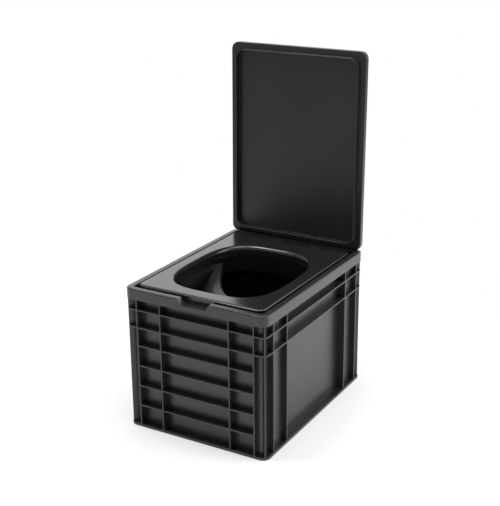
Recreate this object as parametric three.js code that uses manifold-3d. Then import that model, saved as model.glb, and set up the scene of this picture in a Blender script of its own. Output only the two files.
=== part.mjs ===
import * as THREE from "three";
import { mergeVertices } from "three/addons/utils/BufferGeometryUtils.js";
import Module from "manifold-3d";

const wasm = await Module();
wasm.setup();

// All lengths are millimetres. Z is up, the front is at negative Y, the lid is hinged at positive Y.
// The rest position is the one in the photograph: the lid stands open.

// Clearances and fits.
const touchGap = 0.3;
const overrun = 5;
const bond = 1;

// The box: straight walls, a deep rim channel, ribs out to the rim outline.
const crate = {
  width: 300,
  depth: 400,
  height: 280,
  cornerRadius: 15,
  wall: 2.5,
  wallInset: 18.5,
  wallRadius: 10,
  floor: 3,
  flange: 5,
};
const rim = {
  band: 21,
  skin: 2.5,
  deck: 2.8,
  inset: 12.8,
  ledgeDrop: 10,
  ledge: 2.8,
};
const rib = {
  thickness: 3,
  setBack: 0.8,
};
const shortSideRibShares = [0.8267, 0.4867];
const longSideRibShares = [0.8525, 0.6025];
const wrapRibShares = [0.8589, 0.7339];
const lowRibShares = [0.6036, 0.4589, 0.3125, 0.1661];
const notch = {
  topWidth: 68,
  bottomWidth: 50,
  depth: 12,
  shift: 1,
  liner: 2.5,
};

// The seat plate and the egg shaped throat through it.
const plate = {
  rise: 3,
  thickness: 3,
  gap: 4,
  rearGap: 12,
  radius: 16,
  skirt: 2.5,
  footReach: 1.5,
  footHeight: 2,
};
const throat = {
  halfWidthShare: 0.35,
  centreShare: -0.05,
  frontShare: 0.32,
  rearShare: 0.31875,
  frontPower: 3.5,
  rearPower: 3.1,
  lip: 8,
  collar: 9,
  shell: 3,
};

// The separator bowl: a basin for urine in front of a curved divider, a drop chute behind it.
const bowl = {
  step: 0.5,
  shell: 2.5,
  flange: 13,
  chuteDepth: 53,
  crestDepth: 51,
  crestFrontShare: -0.13,
  crestSweepShare: 0.305,
  crestRise: 20,
  slope: 1.3,
  slopeStart: 25,
  slopeRound: 6,
  floorDepth: 105,
  floorFall: 0.12,
  floorRound: 14,
  cornerRound: 10,
  cornerLow: 58,
  cornerHigh: 38,
  rollRadius: 5,
  rollSkirt: 6,
};
const drain = {
  yShare: -0.325,
  bore: 8.5,
  radius: 11,
  length: 17,
};
const seal = {
  radius: 16,
  height: 10,
  standOff: 1.5,
};
const screw = {
  shaft: 1.75,
  head: 4,
  headHeight: 2.4,
  length: 12,
  bossRadius: 5,
  offset: 8.5,
  driveRadius: 1.5,
  driveDepth: 1.4,
};
const screwAngles = [40, 140, 218, 322].map(THREE.MathUtils.degToRad);

// The lid, measured from its hinge end and from its underside.
const lid = {
  sideInset: 1,
  frontInset: 0.5,
  rearInset: 1,
  lift: 0.4,
  thickness: 12,
  cornerRadius: 15,
  border: 14,
  panelStart: 4,
  panel: 3,
  ridgeInset: 14.8,
  ridgeThickness: 2.6,
  ridgeHeight: 8,
  ridgeRadius: 18,
  lean: THREE.MathUtils.degToRad(1),
};
const hinge = {
  spacingShare: 0.2933,
  width: 22,
  axis: 6.75,
  knuckle: 5,
  pinRadius: 2,
  pinLength: 40,
  slotDepth: 13,
  baseFront: 4.6,
  baseRear: 6.4,
  baseHeight: 2.4,
  stemWidth: 16,
  stemDepth: 5,
  stemLength: 14,
  stemShift: 0.8,
  barb: 1.2,
  barbHeight: 3,
};
const lug = {
  width: 14,
  topWidth: 5,
  height: 16,
  thickness: 1.05,
};

// The bucket under the chute.
const bucket = {
  sideGap: 8.5,
  rearGap: 9.5,
  front: -56,
  basinRise: 10,
  draft: 0.05,
  radius: 22,
  wall: 2.2,
  bead: 2,
  beadHeight: 5,
};
const bail = {
  radius: 2,
  offset: 4.6,
  tuck: 5,
  reach: 9.2,
  pivotDrop: 7,
  ear: 7,
  earDepth: 2.2,
  corner: 14,
  restSpan: 30,
  restWidth: 6,
  restHeight: 4,
};
const grip = {
  length: 90,
  radius: 6.5,
};

// The canister under the basin.
const canister = {
  sideGap: 9.5,
  front: 5.5,
  rear: 10,
  wall: 2.2,
  radius: 14,
  shoulder: 10,
  neckRadius: 24,
  neckHeight: 8,
  neckWall: 3,
};
const cap = {
  wall: 2.2,
  top: 3,
  skirt: 12,
  bore: 12,
  gripCount: 18,
  gripDepth: 0.9,
};
const gasket = {
  width: 3.4,
  thickness: 1.8,
};

// How finely curved shapes are divided.
const steps = {
  corner: 6,
  throat: 60,
  round: 28,
  small: 16,
  wire: 10,
  bend: 8,
  hex: 6,
  lip: 4,
  columns: 34,
  rows: 16,
  crest: 180,
};

const halfWidth = crate.width / 2;
const halfDepth = crate.depth / 2;
const deckTop = crate.height;
const ledgeTop = deckTop - rim.ledgeDrop;
const plateTop = deckTop + plate.rise;
const wallHalfX = halfWidth - crate.wallInset;
const wallHalfY = halfDepth - crate.wallInset;
const rimHalfX = halfWidth - rim.inset;
const rimHalfY = halfDepth - rim.inset;

// Geometry helpers.

function solidFrom(geometry) {
  const bare = geometry.clone();
  bare.deleteAttribute("normal");
  bare.deleteAttribute("uv");
  const merged = mergeVertices(bare);
  const made = new wasm.Manifold(
    new wasm.Mesh({
      numProp: 3,
      vertProperties: merged.attributes.position.array,
      triVerts: new Uint32Array(merged.index.array),
    }),
  );
  return made;
}

function joined(pieces) {
  return pieces.reduce((sum, piece) => sum.add(piece));
}

function without(body, cutters) {
  return cutters.reduce((rest, cutter) => rest.subtract(cutter), body);
}

function outline(minX, maxX, minY, maxY, radius) {
  const shape = new THREE.Shape();
  const quarter = Math.PI / 2;
  shape.moveTo(minX + radius, minY);
  shape.lineTo(maxX - radius, minY);
  shape.absarc(maxX - radius, minY + radius, radius, -quarter, 0, false);
  shape.lineTo(maxX, maxY - radius);
  shape.absarc(maxX - radius, maxY - radius, radius, 0, quarter, false);
  shape.lineTo(minX + radius, maxY);
  shape.absarc(minX + radius, maxY - radius, radius, quarter, 2 * quarter, false);
  shape.lineTo(minX, minY + radius);
  shape.absarc(minX + radius, minY + radius, radius, 2 * quarter, 3 * quarter, false);
  return shape;
}

function centredOutline(halfX, halfY, radius) {
  return outline(-halfX, halfX, -halfY, halfY, radius);
}

function slab(shape, bottom, top) {
  const geometry = new THREE.ExtrudeGeometry(shape, {
    depth: top - bottom,
    bevelEnabled: false,
    curveSegments: steps.corner,
  });
  geometry.translate(0, 0, bottom);
  return solidFrom(geometry);
}

// A rounded rectangular ring around the middle of the box, between two insets from the rim outline.
function boxRing(outerInset, innerInset, bottom, top) {
  const outerRadius = Math.max(crate.cornerRadius - outerInset, crate.wallRadius);
  const innerRadius = Math.max(crate.cornerRadius - innerInset, crate.wallRadius - crate.wall);
  const outer = centredOutline(halfWidth - outerInset, halfDepth - outerInset, outerRadius);
  const inner = centredOutline(halfWidth - innerInset, halfDepth - innerInset, innerRadius);
  return slab(outer, bottom, top).subtract(slab(inner, bottom - overrun, top + overrun));
}

function block(minX, maxX, minY, maxY, minZ, maxZ) {
  const geometry = new THREE.BoxGeometry(maxX - minX, maxY - minY, maxZ - minZ);
  geometry.translate((minX + maxX) / 2, (minY + maxY) / 2, (minZ + maxZ) / 2);
  return solidFrom(geometry);
}

function upright(radius, x, y, bottom, top, sides = steps.round) {
  const geometry = new THREE.CylinderGeometry(radius, radius, top - bottom, sides);
  geometry.rotateX(Math.PI / 2);
  geometry.translate(x, y, (bottom + top) / 2);
  return solidFrom(geometry);
}

function crossRod(radius, x, y, z, length, sides = steps.small) {
  const geometry = new THREE.CylinderGeometry(radius, radius, length, sides);
  geometry.rotateZ(Math.PI / 2);
  geometry.translate(x, y, z);
  return solidFrom(geometry);
}

// Joins a row of equal loops into one closed body. A run with two ends gets a cap on each,
// a closed run goes on from the last loop into the first.
function skin(loops, closed = false) {
  const size = loops[0].length;
  const spans = closed ? loops.length : loops.length - 1;
  const index = [];
  for (let i = 0; i < spans; i += 1) {
    const here = i * size;
    const there = ((i + 1) % loops.length) * size;
    for (let j = 0; j < size; j += 1) {
      const next = (j + 1) % size;
      index.push(here + j, there + j, there + next, here + j, there + next, here + next);
    }
  }
  if (!closed) {
    const last = spans * size;
    index.push(...capCorners(size));
    index.push(...capCorners(size).toReversed().map((corner) => last + corner));
  }
  const geometry = new THREE.BufferGeometry();
  const positions = loops.flat().flatMap((p) => [p.x, p.y, p.z]);
  geometry.setAttribute("position", new THREE.Float32BufferAttribute(positions, 3));
  geometry.setIndex(index);
  return facingOut(geometry);
}

// Closes a loop with rungs from one half of it to the other.
function capCorners(size) {
  const corners = [];
  for (let i = 0; i < size / 2 - 1; i += 1) {
    const across = size - 1 - i;
    if (i + 1 < across - 1) {
      corners.push(i, i + 1, across - 1);
    }
    corners.push(i, across - 1, across);
  }
  return corners;
}

function facingOut(geometry) {
  const made = solidFrom(geometry);
  if (made.volume() > 0) {
    return made;
  }
  geometry.setIndex(Array.from(geometry.index.array).toReversed());
  return solidFrom(geometry);
}

// The corner points of an outline, each once, lifted to a height.
function loopAt(shape, z) {
  const kept = [];
  for (const p of shape.extractPoints(steps.corner).shape) {
    const near = (other) => other && other.distanceTo(p) < touchGap / 10;
    if (!near(kept.at(-1)) && !near(kept[0])) {
      kept.push(p);
    }
  }
  return kept.map((p) => new THREE.Vector3(p.x, p.y, z));
}

// The box.

function crateWalls() {
  const wallInner = crate.wallInset;
  const wallOuter = wallInner - crate.wall;
  const flangeOutline = centredOutline(halfWidth, halfDepth, crate.cornerRadius);
  const floorOutline = centredOutline(wallHalfX + bond, wallHalfY + bond, crate.wallRadius);
  return joined([
    boxRing(wallOuter, wallInner, 0, ledgeTop),
    slab(floorOutline, 0, crate.floor),
    boxRing(0, wallInner - bond, 0, crate.flange),
  ]).intersect(slab(flangeOutline, 0, deckTop));
}

function crateRim() {
  const riserOuter = rim.inset - rim.skin;
  return joined([
    boxRing(0, rim.skin, deckTop - rim.band, deckTop),
    boxRing(0, rim.inset, deckTop - rim.deck, deckTop),
    boxRing(riserOuter, rim.inset, ledgeTop - rim.ledge, deckTop),
    boxRing(riserOuter, crate.wallInset, ledgeTop - rim.ledge, ledgeTop),
  ]);
}

function uprightRibs() {
  const half = rib.thickness / 2;
  const top = deckTop - rim.deck + bond;
  const plates = [];
  for (const share of shortSideRibShares) {
    for (const x of [-halfWidth * share, halfWidth * share]) {
      plates.push(block(x - half, x + half, -halfDepth, halfDepth, 0, top));
    }
  }
  for (const share of longSideRibShares) {
    for (const y of [-halfDepth * share, halfDepth * share]) {
      plates.push(block(-halfWidth, halfWidth, y - half, y + half, 0, top));
    }
  }
  return joined(plates.concat(cornerRibs(top)));
}

function cornerRibs(top) {
  const half = rib.thickness / 2;
  const reach = crate.wallInset + crate.cornerRadius;
  const ribs = [];
  for (const [sx, sy] of [[-1, -1], [1, -1], [1, 1], [-1, 1]]) {
    const geometry = new THREE.BoxGeometry(2 * reach, 2 * half, top);
    geometry.rotateZ(Math.atan2(sy, sx));
    const centreX = sx * (halfWidth - crate.cornerRadius);
    const centreY = sy * (halfDepth - crate.cornerRadius);
    geometry.translate(centreX, centreY, top / 2);
    ribs.push(solidFrom(geometry));
  }
  return ribs;
}

function levelRibs() {
  const innerInset = crate.wallInset - crate.wall / 2;
  const ribs = wrapRibShares.map((share) =>
    boxRing(rib.setBack, innerInset, deckTop * share - rib.thickness, deckTop * share),
  );
  const halfX = halfWidth * shortSideRibShares[0];
  for (const share of lowRibShares) {
    const top = deckTop * share;
    ribs.push(block(-halfX, halfX, -halfDepth, halfDepth, top - rib.thickness, top));
  }
  return joined(ribs);
}

function crateRibs() {
  const split = ledgeTop - rim.ledge / 2;
  const zone = joined([
    boxRing(rib.setBack, crate.wallInset - crate.wall / 2, 0, split),
    boxRing(rib.setBack, rim.inset - rim.skin / 2, split - bond / 2, deckTop - bond),
  ]);
  return joined([uprightRibs(), levelRibs()]).intersect(zone);
}

function notchShape(growth) {
  const top = notch.topWidth / 2 + growth;
  const bottom = notch.bottomWidth / 2 + growth;
  const shape = new THREE.Shape();
  shape.moveTo(notch.shift - bottom, deckTop - notch.depth - growth);
  shape.lineTo(notch.shift + bottom, deckTop - notch.depth - growth);
  shape.lineTo(notch.shift + top, deckTop);
  shape.lineTo(notch.shift + top, deckTop + overrun);
  shape.lineTo(notch.shift - top, deckTop + overrun);
  shape.lineTo(notch.shift - top, deckTop);
  return shape;
}

function acrossFront(shape, nearY, farY) {
  const geometry = new THREE.ExtrudeGeometry(shape, {
    depth: farY - nearY,
    bevelEnabled: false,
  });
  geometry.rotateX(Math.PI / 2);
  geometry.translate(0, farY, 0);
  return solidFrom(geometry);
}

function hingePockets() {
  const y = hingeY() + hinge.stemShift;
  return hingeCentres().map((x) =>
    block(
      x - hinge.stemWidth / 2 - touchGap,
      x + hinge.stemWidth / 2 + touchGap,
      y - hinge.stemDepth / 2 - touchGap,
      y + hinge.stemDepth / 2 + touchGap,
      deckTop - rim.deck - overrun,
      deckTop + overrun,
    ),
  );
}

function makeCrate() {
  const front = -halfDepth;
  const back = -rimHalfY;
  const liner = acrossFront(notchShape(notch.liner), front, back).intersect(
    slab(centredOutline(halfWidth, halfDepth, crate.cornerRadius), 0, deckTop),
  );
  const whole = joined([crateWalls(), crateRim(), crateRibs(), liner]);
  const mouth = acrossFront(notchShape(0), front - overrun, back + bond);
  return without(whole, [mouth, ...hingePockets()]);
}

// The throat outline and the distance to it.

const throatHalfX = crate.width * throat.halfWidthShare;
const throatY = crate.depth * throat.centreShare;
const throatFront = crate.depth * throat.frontShare;
const throatRear = crate.depth * throat.rearShare;

function throatSpan(y) {
  return y > throatY
    ? { reach: throatRear, power: throat.rearPower }
    : { reach: throatFront, power: throat.frontPower };
}

function throatPoint(angle, offset) {
  const c = Math.cos(angle);
  const s = Math.sin(angle);
  const { reach, power } = throatSpan(throatY + s);
  const size = Math.abs(c / throatHalfX) ** power + Math.abs(s / reach) ** power;
  const radius = size ** (-1 / power);
  const x = radius * c;
  const y = radius * s;
  const normal = new THREE.Vector2(
    Math.sign(c) * Math.abs(x / throatHalfX) ** (power - 1) / throatHalfX,
    Math.sign(s) * Math.abs(y / reach) ** (power - 1) / reach,
  ).normalize();
  return new THREE.Vector2(x, throatY + y).addScaledVector(normal, offset);
}

function throatLoop(offset) {
  return Array.from({ length: steps.throat }, (_, i) =>
    throatPoint((2 * Math.PI * i) / steps.throat, offset),
  );
}

function throatSlab(offset, bottom, top) {
  return slab(new THREE.Shape(throatLoop(offset)), bottom, top);
}

// Sweeps a profile of [offset, height] pairs round the throat.
function throatRing(profile) {
  const loops = Array.from({ length: steps.throat }, (_, i) => {
    const angle = (2 * Math.PI * i) / steps.throat;
    return profile.map(([offset, z]) => {
      const p = throatPoint(angle, offset);
      return new THREE.Vector3(p.x, p.y, z);
    });
  });
  return skin(loops, true);
}

function insideWall(x, y) {
  const { reach, power } = throatSpan(y);
  const across = Math.abs(x) / (throatHalfX + bowl.step);
  const along = Math.abs(y - throatY) / (reach + bowl.step);
  const size = (across ** power + along ** power) ** (1 / power);
  const steepness = Math.hypot(
    (across / size) ** (power - 1) / throatHalfX,
    (along / size) ** (power - 1) / reach,
  );
  return (1 - size) / steepness;
}

// The seat plate.

function plateEdges() {
  return {
    side: rimHalfX - plate.gap,
    front: -rimHalfY + plate.gap,
    rear: rimHalfY - plate.rearGap,
    foot: wallHalfY + plate.footReach,
  };
}

function plateShell() {
  const edge = plateEdges();
  const bottom = ledgeTop + touchGap;
  const outer = outline(-edge.side, edge.side, edge.front, edge.rear, plate.radius);
  const inner = outline(
    -edge.side + plate.skirt,
    edge.side - plate.skirt,
    edge.front + plate.skirt,
    edge.rear - plate.skirt,
    plate.radius - plate.skirt,
  );
  const hollow = slab(inner, bottom - overrun, plateTop - plate.thickness);
  const foot = block(
    -edge.side + plate.radius,
    edge.side - plate.radius,
    edge.rear - plate.skirt,
    edge.foot,
    bottom,
    bottom + plate.footHeight,
  );
  return slab(outer, bottom, plateTop).subtract(hollow).add(foot);
}

function lipProfile() {
  const top = plateTop;
  const collarTop = top - throat.lip;
  const collarBottom = collarTop - throat.collar;
  const inner = [];
  const outer = [];
  for (let i = 0; i <= steps.lip; i += 1) {
    const angle = (i / steps.lip) * (Math.PI / 2);
    const small = throat.lip - throat.shell;
    inner.push([
      throat.lip - throat.lip * Math.cos(angle),
      collarTop + throat.lip * Math.sin(angle),
    ]);
    outer.push([throat.lip - small * Math.cos(angle), collarTop + small * Math.sin(angle)]);
  }
  return [
    [0, collarBottom],
    ...inner,
    [throat.lip + bond, top],
    [throat.lip + bond, top - plate.thickness],
    ...outer.toReversed(),
    [throat.shell, collarBottom],
  ];
}

function collarBottomZ() {
  return plateTop - throat.lip - throat.collar;
}

function screwPlaces() {
  return screwAngles.map((angle) => throatPoint(angle, screw.offset));
}

function makePlate() {
  const hole = throatSlab(throat.lip, 0, plateTop + overrun);
  const bosses = screwPlaces().map((p) =>
    upright(screw.bossRadius, p.x, p.y, collarBottomZ(), plateTop - plate.thickness + bond),
  );
  const pilots = screwPlaces().map((p) =>
    upright(
      screw.shaft + touchGap,
      p.x,
      p.y,
      collarBottomZ() - overrun,
      collarBottomZ() + screw.length - bowl.shell + touchGap,
      steps.small,
    ),
  );
  const body = joined([plateShell().subtract(hole), throatRing(lipProfile()), ...bosses]);
  return without(body, pilots);
}

// The separator bowl.

const bowlTop = collarBottomZ() - touchGap;
const chuteBottom = plateTop - bowl.chuteDepth;
const crestZ = plateTop - bowl.crestDepth;
const crestY = crate.depth * bowl.crestFrontShare;
const crestSweep = crate.depth * bowl.crestSweepShare;
const floorZ = plateTop - bowl.floorDepth;
const drainY = crate.depth * drain.yShare;
const spoutBottomZ = floorZ - drain.length;

function crestAt(x) {
  const share = (x / throatHalfX) ** 2;
  return new THREE.Vector3(x, crestY + crestSweep * share, crestZ + bowl.crestRise * share);
}

const crestLine = Array.from({ length: steps.crest + 1 }, (_, i) =>
  crestAt((2 * (i / steps.crest) - 1) * (throatHalfX + 3 * bowl.shell)),
);

function nearestCrest(x, y) {
  let best = crestLine[0];
  let least = Infinity;
  for (const point of crestLine) {
    const distance = Math.hypot(point.x - x, point.y - y);
    if (distance < least) {
      least = distance;
      best = point;
    }
  }
  return { distance: least, z: best.z };
}

function slopeDrop(distance) {
  const past = distance - bowl.slopeStart;
  return (bowl.slope * (Math.hypot(past, bowl.slopeRound) + past)) / 2;
}

function cornerRise(x, y, z) {
  const gap = Math.min(Math.max(insideWall(x, y), 0), bowl.cornerRound);
  const rise = bowl.cornerRound - Math.sqrt(bowl.cornerRound ** 2 - (bowl.cornerRound - gap) ** 2);
  const low = plateTop - bowl.cornerLow;
  const high = plateTop - bowl.cornerHigh;
  return rise * THREE.MathUtils.smoothstep(z, low, high);
}

function basinHeight(x, y) {
  const { distance, z } = nearestCrest(x, y);
  const slope = z - slopeDrop(distance);
  const floor = floorZ + bowl.floorFall * Math.hypot(x, y - drainY);
  const smooth = (slope + floor + Math.hypot(slope - floor, bowl.floorRound)) / 2;
  return smooth + cornerRise(x, y, smooth);
}

function basinColumns() {
  const reach = throatHalfX + 2 * bowl.shell;
  return Array.from({ length: steps.columns + 1 }, (_, i) => {
    const share = (2 * i) / steps.columns - 1;
    return (reach * (share + Math.sin((share * Math.PI) / 2))) / 2;
  });
}

// A body between two height functions, over the ground between the crest and an end line.
function basinBody(endY, topAt, bottomAt) {
  const lead = endY > crestY ? -bond : 0;
  const loops = basinColumns().map((x) => {
    const start = crestAt(x).y + lead;
    const ys = Array.from({ length: steps.rows + 1 }, (_, i) =>
      THREE.MathUtils.lerp(start, endY, i / steps.rows),
    );
    const top = ys.map((y) => new THREE.Vector3(x, y, topAt(x, y)));
    const bottom = ys.map((y) => new THREE.Vector3(x, y, bottomAt(x, y)));
    return top.concat(bottom.toReversed());
  });
  return skin(loops);
}

function basinUnderside(x, y) {
  const step = bowl.shell;
  const here = basinHeight(x, y);
  const slopeX = (basinHeight(x + step, y) - here) / step;
  const slopeY = (basinHeight(x, y + step) - here) / step;
  return here - bowl.shell * Math.min(Math.hypot(1, slopeX, slopeY), 2);
}

function dividerRoll() {
  const profile = [];
  const inner = [];
  const small = bowl.rollRadius - bowl.shell;
  for (let i = 0; i <= steps.lip; i += 1) {
    const angle = (i / steps.lip) * (Math.PI / 2);
    profile.push([
      bowl.rollRadius * Math.sin(angle),
      bowl.rollRadius * Math.cos(angle) - bowl.rollRadius,
    ]);
    inner.push([small * Math.sin(angle), small * Math.cos(angle) - bowl.rollRadius]);
  }
  const low = -bowl.rollRadius - bowl.rollSkirt;
  const section = [
    [-bond, -slopeDrop(0)],
    ...profile,
    [bowl.rollRadius, low],
    [small, low],
    ...inner.toReversed(),
    [-bond, -bowl.shell],
  ];
  const stations = basinColumns().map((x) => {
    const at = crestAt(x);
    const ahead = crestAt(x + bond);
    const behind = new THREE.Vector2(at.y - ahead.y, ahead.x - at.x).normalize();
    return section.map(
      ([back, rise]) =>
        new THREE.Vector3(at.x + behind.x * back, at.y + behind.y * back, at.z - slopeDrop(0) + rise),
    );
  });
  return skin(stations);
}

function makeBowl() {
  const frontEnd = throatY - throatFront - 3 * bowl.shell;
  const rearEnd = throatY + throatRear + 3 * bowl.shell;
  const outerOffset = bowl.step + bowl.shell;
  const wall = throatRing([
    [bowl.step, 0],
    [bowl.step, bowlTop],
    [outerOffset, bowlTop],
    [outerOffset, 0],
  ]);
  const underBasin = basinBody(frontEnd, basinUnderside, () => -overrun);
  const underChute = basinBody(rearEnd, () => chuteBottom, () => -overrun);
  const inside = throatSlab(outerOffset - bond, 0, bowlTop);
  const basin = basinBody(frontEnd, basinHeight, basinUnderside).intersect(inside);
  const roll = dividerRoll().intersect(inside);
  const flange = throatRing([
    [bowl.step + bond, bowlTop - bowl.shell],
    [bowl.step + bond, bowlTop],
    [bowl.step + bowl.flange, bowlTop],
    [bowl.step + bowl.flange, bowlTop - bowl.shell],
  ]);
  const aboveBasin = basinBody(frontEnd, () => bowlTop, basinHeight);
  const spout = upright(drain.radius, 0, drainY, spoutBottomZ, crestZ).subtract(aboveBasin);
  const bore = upright(drain.bore, 0, drainY, spoutBottomZ - overrun, crestZ);
  const holes = screwPlaces().map((p) =>
    upright(
      screw.shaft + touchGap,
      p.x,
      p.y,
      bowlTop - bowl.shell - overrun,
      bowlTop + overrun,
      steps.small,
    ),
  );
  const shell = joined([without(wall, [underBasin, underChute]), basin, roll, flange, spout]);
  return without(shell, [bore, ...holes]);
}

function makeScrew(place) {
  const headTop = bowlTop - bowl.shell - touchGap;
  const head = upright(screw.head, place.x, place.y, headTop - screw.headHeight, headTop);
  const shaft = upright(
    screw.shaft,
    place.x,
    place.y,
    headTop - bond,
    headTop + screw.length,
    steps.small,
  );
  const drive = upright(
    screw.driveRadius,
    place.x,
    place.y,
    headTop - screw.headHeight - overrun,
    headTop - screw.headHeight + screw.driveDepth,
    steps.hex,
  );
  return without(joined([head, shaft]), [drive]);
}

const sealBottom = spoutBottomZ - seal.standOff;

function makeSeal() {
  const outer = upright(seal.radius, 0, drainY, sealBottom, sealBottom + seal.height);
  const bore = upright(drain.bore, 0, drainY, sealBottom - overrun, sealBottom + seal.height + overrun);
  const socket = upright(
    drain.radius + touchGap,
    0,
    drainY,
    spoutBottomZ - touchGap,
    sealBottom + seal.height + overrun,
  );
  return without(outer, [bore, socket]);
}

// The lid, drawn standing: X across, Y through the thickness, Z along from the hinge end.

const lidRear = halfDepth - lid.rearInset;
const lidLength = lidRear + halfDepth - lid.frontInset;
const lidBase = deckTop + lid.lift;

function hingeCentres() {
  const x = (crate.width * hinge.spacingShare) / 2;
  return [-x, x];
}

function hingeY() {
  return lidRear - hinge.axis;
}

function hingeZ() {
  return lidBase + hinge.axis;
}

function standing(shape, near, far) {
  const geometry = new THREE.ExtrudeGeometry(shape, {
    depth: far - near,
    bevelEnabled: false,
    curveSegments: steps.corner,
  });
  geometry.rotateX(Math.PI / 2);
  geometry.translate(0, far, 0);
  return solidFrom(geometry);
}

function lidOutline(inset, radius) {
  const across = halfWidth - inset;
  return outline(-across, across, inset - lid.rearInset, lidRear + halfDepth - inset, radius);
}

function lidPlate() {
  const across = halfWidth - lid.sideInset;
  const whole = outline(-across, across, 0, lidLength, lid.cornerRadius);
  const half = lid.ridgeThickness / 2;
  const recess = lidOutline(lid.ridgeInset + half, lid.ridgeRadius - half);
  const under = standing(recess, -overrun, lid.panelStart);
  const over = standing(
    lidOutline(lid.border + lid.sideInset, lid.ridgeRadius),
    lid.panelStart + lid.panel,
    lid.thickness + overrun,
  );
  return without(standing(whole, 0, lid.thickness), [under, over]);
}

function lidRidge() {
  const half = lid.ridgeThickness / 2;
  const outer = standing(
    lidOutline(lid.ridgeInset - half, lid.ridgeRadius + half),
    -lid.ridgeHeight,
    lid.panelStart + bond,
  );
  const inner = standing(
    lidOutline(lid.ridgeInset + half, lid.ridgeRadius - half),
    -lid.ridgeHeight - overrun,
    lid.panelStart + overrun,
  );
  return outer.subtract(inner);
}

// Two gussets on the ridge over the hinges, upright on their left side and slanted on the right.
function lidLugs() {
  const low = lid.ridgeInset - lid.rearInset;
  return hingeCentres().map((x) => {
    const left = x - lug.width / 2;
    const shape = new THREE.Shape();
    shape.moveTo(left, low);
    shape.lineTo(left + lug.width, low);
    shape.lineTo(left + lug.topWidth, low + lug.height);
    shape.lineTo(left, low + lug.height);
    return standing(shape, lid.panelStart - lug.thickness, lid.panelStart + bond);
  });
}

// Rounds the hinge end on the underside, so that it can roll over the rim deck.
function lidHeel() {
  const across = halfWidth + overrun;
  const square = block(-across, across, -overrun, hinge.axis, -overrun, hinge.axis);
  const round = crossRod(hinge.axis, 0, hinge.axis, hinge.axis, 2 * across + overrun, 2 * steps.round);
  return square.subtract(round);
}

function lidSlots() {
  return hingeCentres().map((x) =>
    block(
      x - hinge.width / 2 - touchGap,
      x + hinge.width / 2 + touchGap,
      -overrun,
      lid.thickness + overrun,
      -overrun,
      hinge.slotDepth,
    ),
  );
}

// Each pin slides in along an open groove beside its bore.
function pinGrooves() {
  const bore = hinge.pinRadius + touchGap;
  return hingeCentres().flatMap((x) => {
    const side = Math.sign(x);
    const near = x + (side * hinge.pinLength) / 2;
    const far = near + side * (hinge.pinLength + overrun);
    const groove = block(
      Math.min(near, far),
      Math.max(near, far),
      hinge.axis - bore,
      hinge.axis + bore,
      -overrun,
      hinge.axis + bore,
    );
    const hole = crossRod(bore, x, hinge.axis, hinge.axis, hinge.pinLength + 2 * touchGap);
    return [groove, hole];
  });
}

function toOpen(solid) {
  const y = hingeY();
  const z = hingeZ();
  return solid
    .translate([0, -hinge.axis, -hinge.axis])
    .rotate([THREE.MathUtils.radToDeg(-lid.lean), 0, 0])
    .translate([0, y, z]);
}

function makeLid() {
  const flat = joined([lidPlate(), lidRidge(), ...lidLugs()]);
  return toOpen(without(flat, [lidHeel(), ...lidSlots(), ...pinGrooves()]));
}

function makePin(x) {
  return crossRod(hinge.pinRadius, x, hingeY(), hingeZ(), hinge.pinLength);
}

function makeBracket(x) {
  const y = hingeY();
  const z = hingeZ();
  const half = hinge.width / 2;
  const base = deckTop + touchGap;
  const stemFront = y + hinge.stemShift - hinge.stemDepth / 2;
  const stemRear = stemFront + hinge.stemDepth;
  const stemBottom = base - hinge.stemLength;
  const under = deckTop - rim.deck - touchGap;
  const body = joined([
    crossRod(hinge.knuckle, x, y, z, hinge.width, steps.round),
    block(x - half, x + half, y - hinge.baseFront, y + hinge.baseFront, base, z),
    block(x - half, x + half, y - hinge.baseFront, y + hinge.baseRear, base, base + hinge.baseHeight),
    block(x - hinge.stemWidth / 2, x + hinge.stemWidth / 2, stemFront, stemRear, stemBottom, base + bond),
    block(
      x - hinge.stemWidth / 2,
      x + hinge.stemWidth / 2,
      stemFront,
      stemRear + hinge.barb,
      under - hinge.barbHeight,
      under,
    ),
  ]);
  const bore = crossRod(hinge.pinRadius + touchGap, x, y, z, hinge.width + 2 * overrun);
  return body.subtract(bore);
}

// The bucket.

const bucketTop = floorZ + bucket.basinRise;
const bucketBottom = crate.floor + touchGap;
const bucketSide = wallHalfX - bucket.sideGap;
const bucketRear = wallHalfY - bucket.rearGap;
const bucketMiddle = (bucketRear + bucket.front) / 2;
const bailZ = bucketTop - bail.pivotDrop;

function bucketLoop(z, inset) {
  const taper = (bucketTop - z) * bucket.draft + inset;
  const shape = outline(
    -bucketSide + taper,
    bucketSide - taper,
    bucket.front + taper,
    bucketRear - taper,
    bucket.radius - inset,
  );
  return loopAt(shape, z);
}

// A block on each long side of the bucket, from inside its wall out to a reach.
function sideBlocks(reach, frontY, rearY, bottom, top) {
  const inner = bucketSide - bucket.wall;
  return [
    block(-reach, -inner, frontY, rearY, bottom, top),
    block(inner, reach, frontY, rearY, bottom, top),
  ];
}

function bucketEars() {
  const reach = bucketSide + bail.earDepth;
  const frontY = bucketMiddle - bail.ear;
  return sideBlocks(reach, frontY, frontY + 2 * bail.ear, bailZ - bail.ear, bucketTop - bond);
}

// Two small pegs that the arms of the bail lie on.
function bailRests() {
  const reach = bucketSide + bail.offset + bail.radius / 2;
  const frontY = bucket.front + bail.restSpan;
  const top = bailZ - bail.radius - touchGap;
  return sideBlocks(reach, frontY, frontY + bail.restWidth, top - bail.restHeight, top);
}

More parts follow.
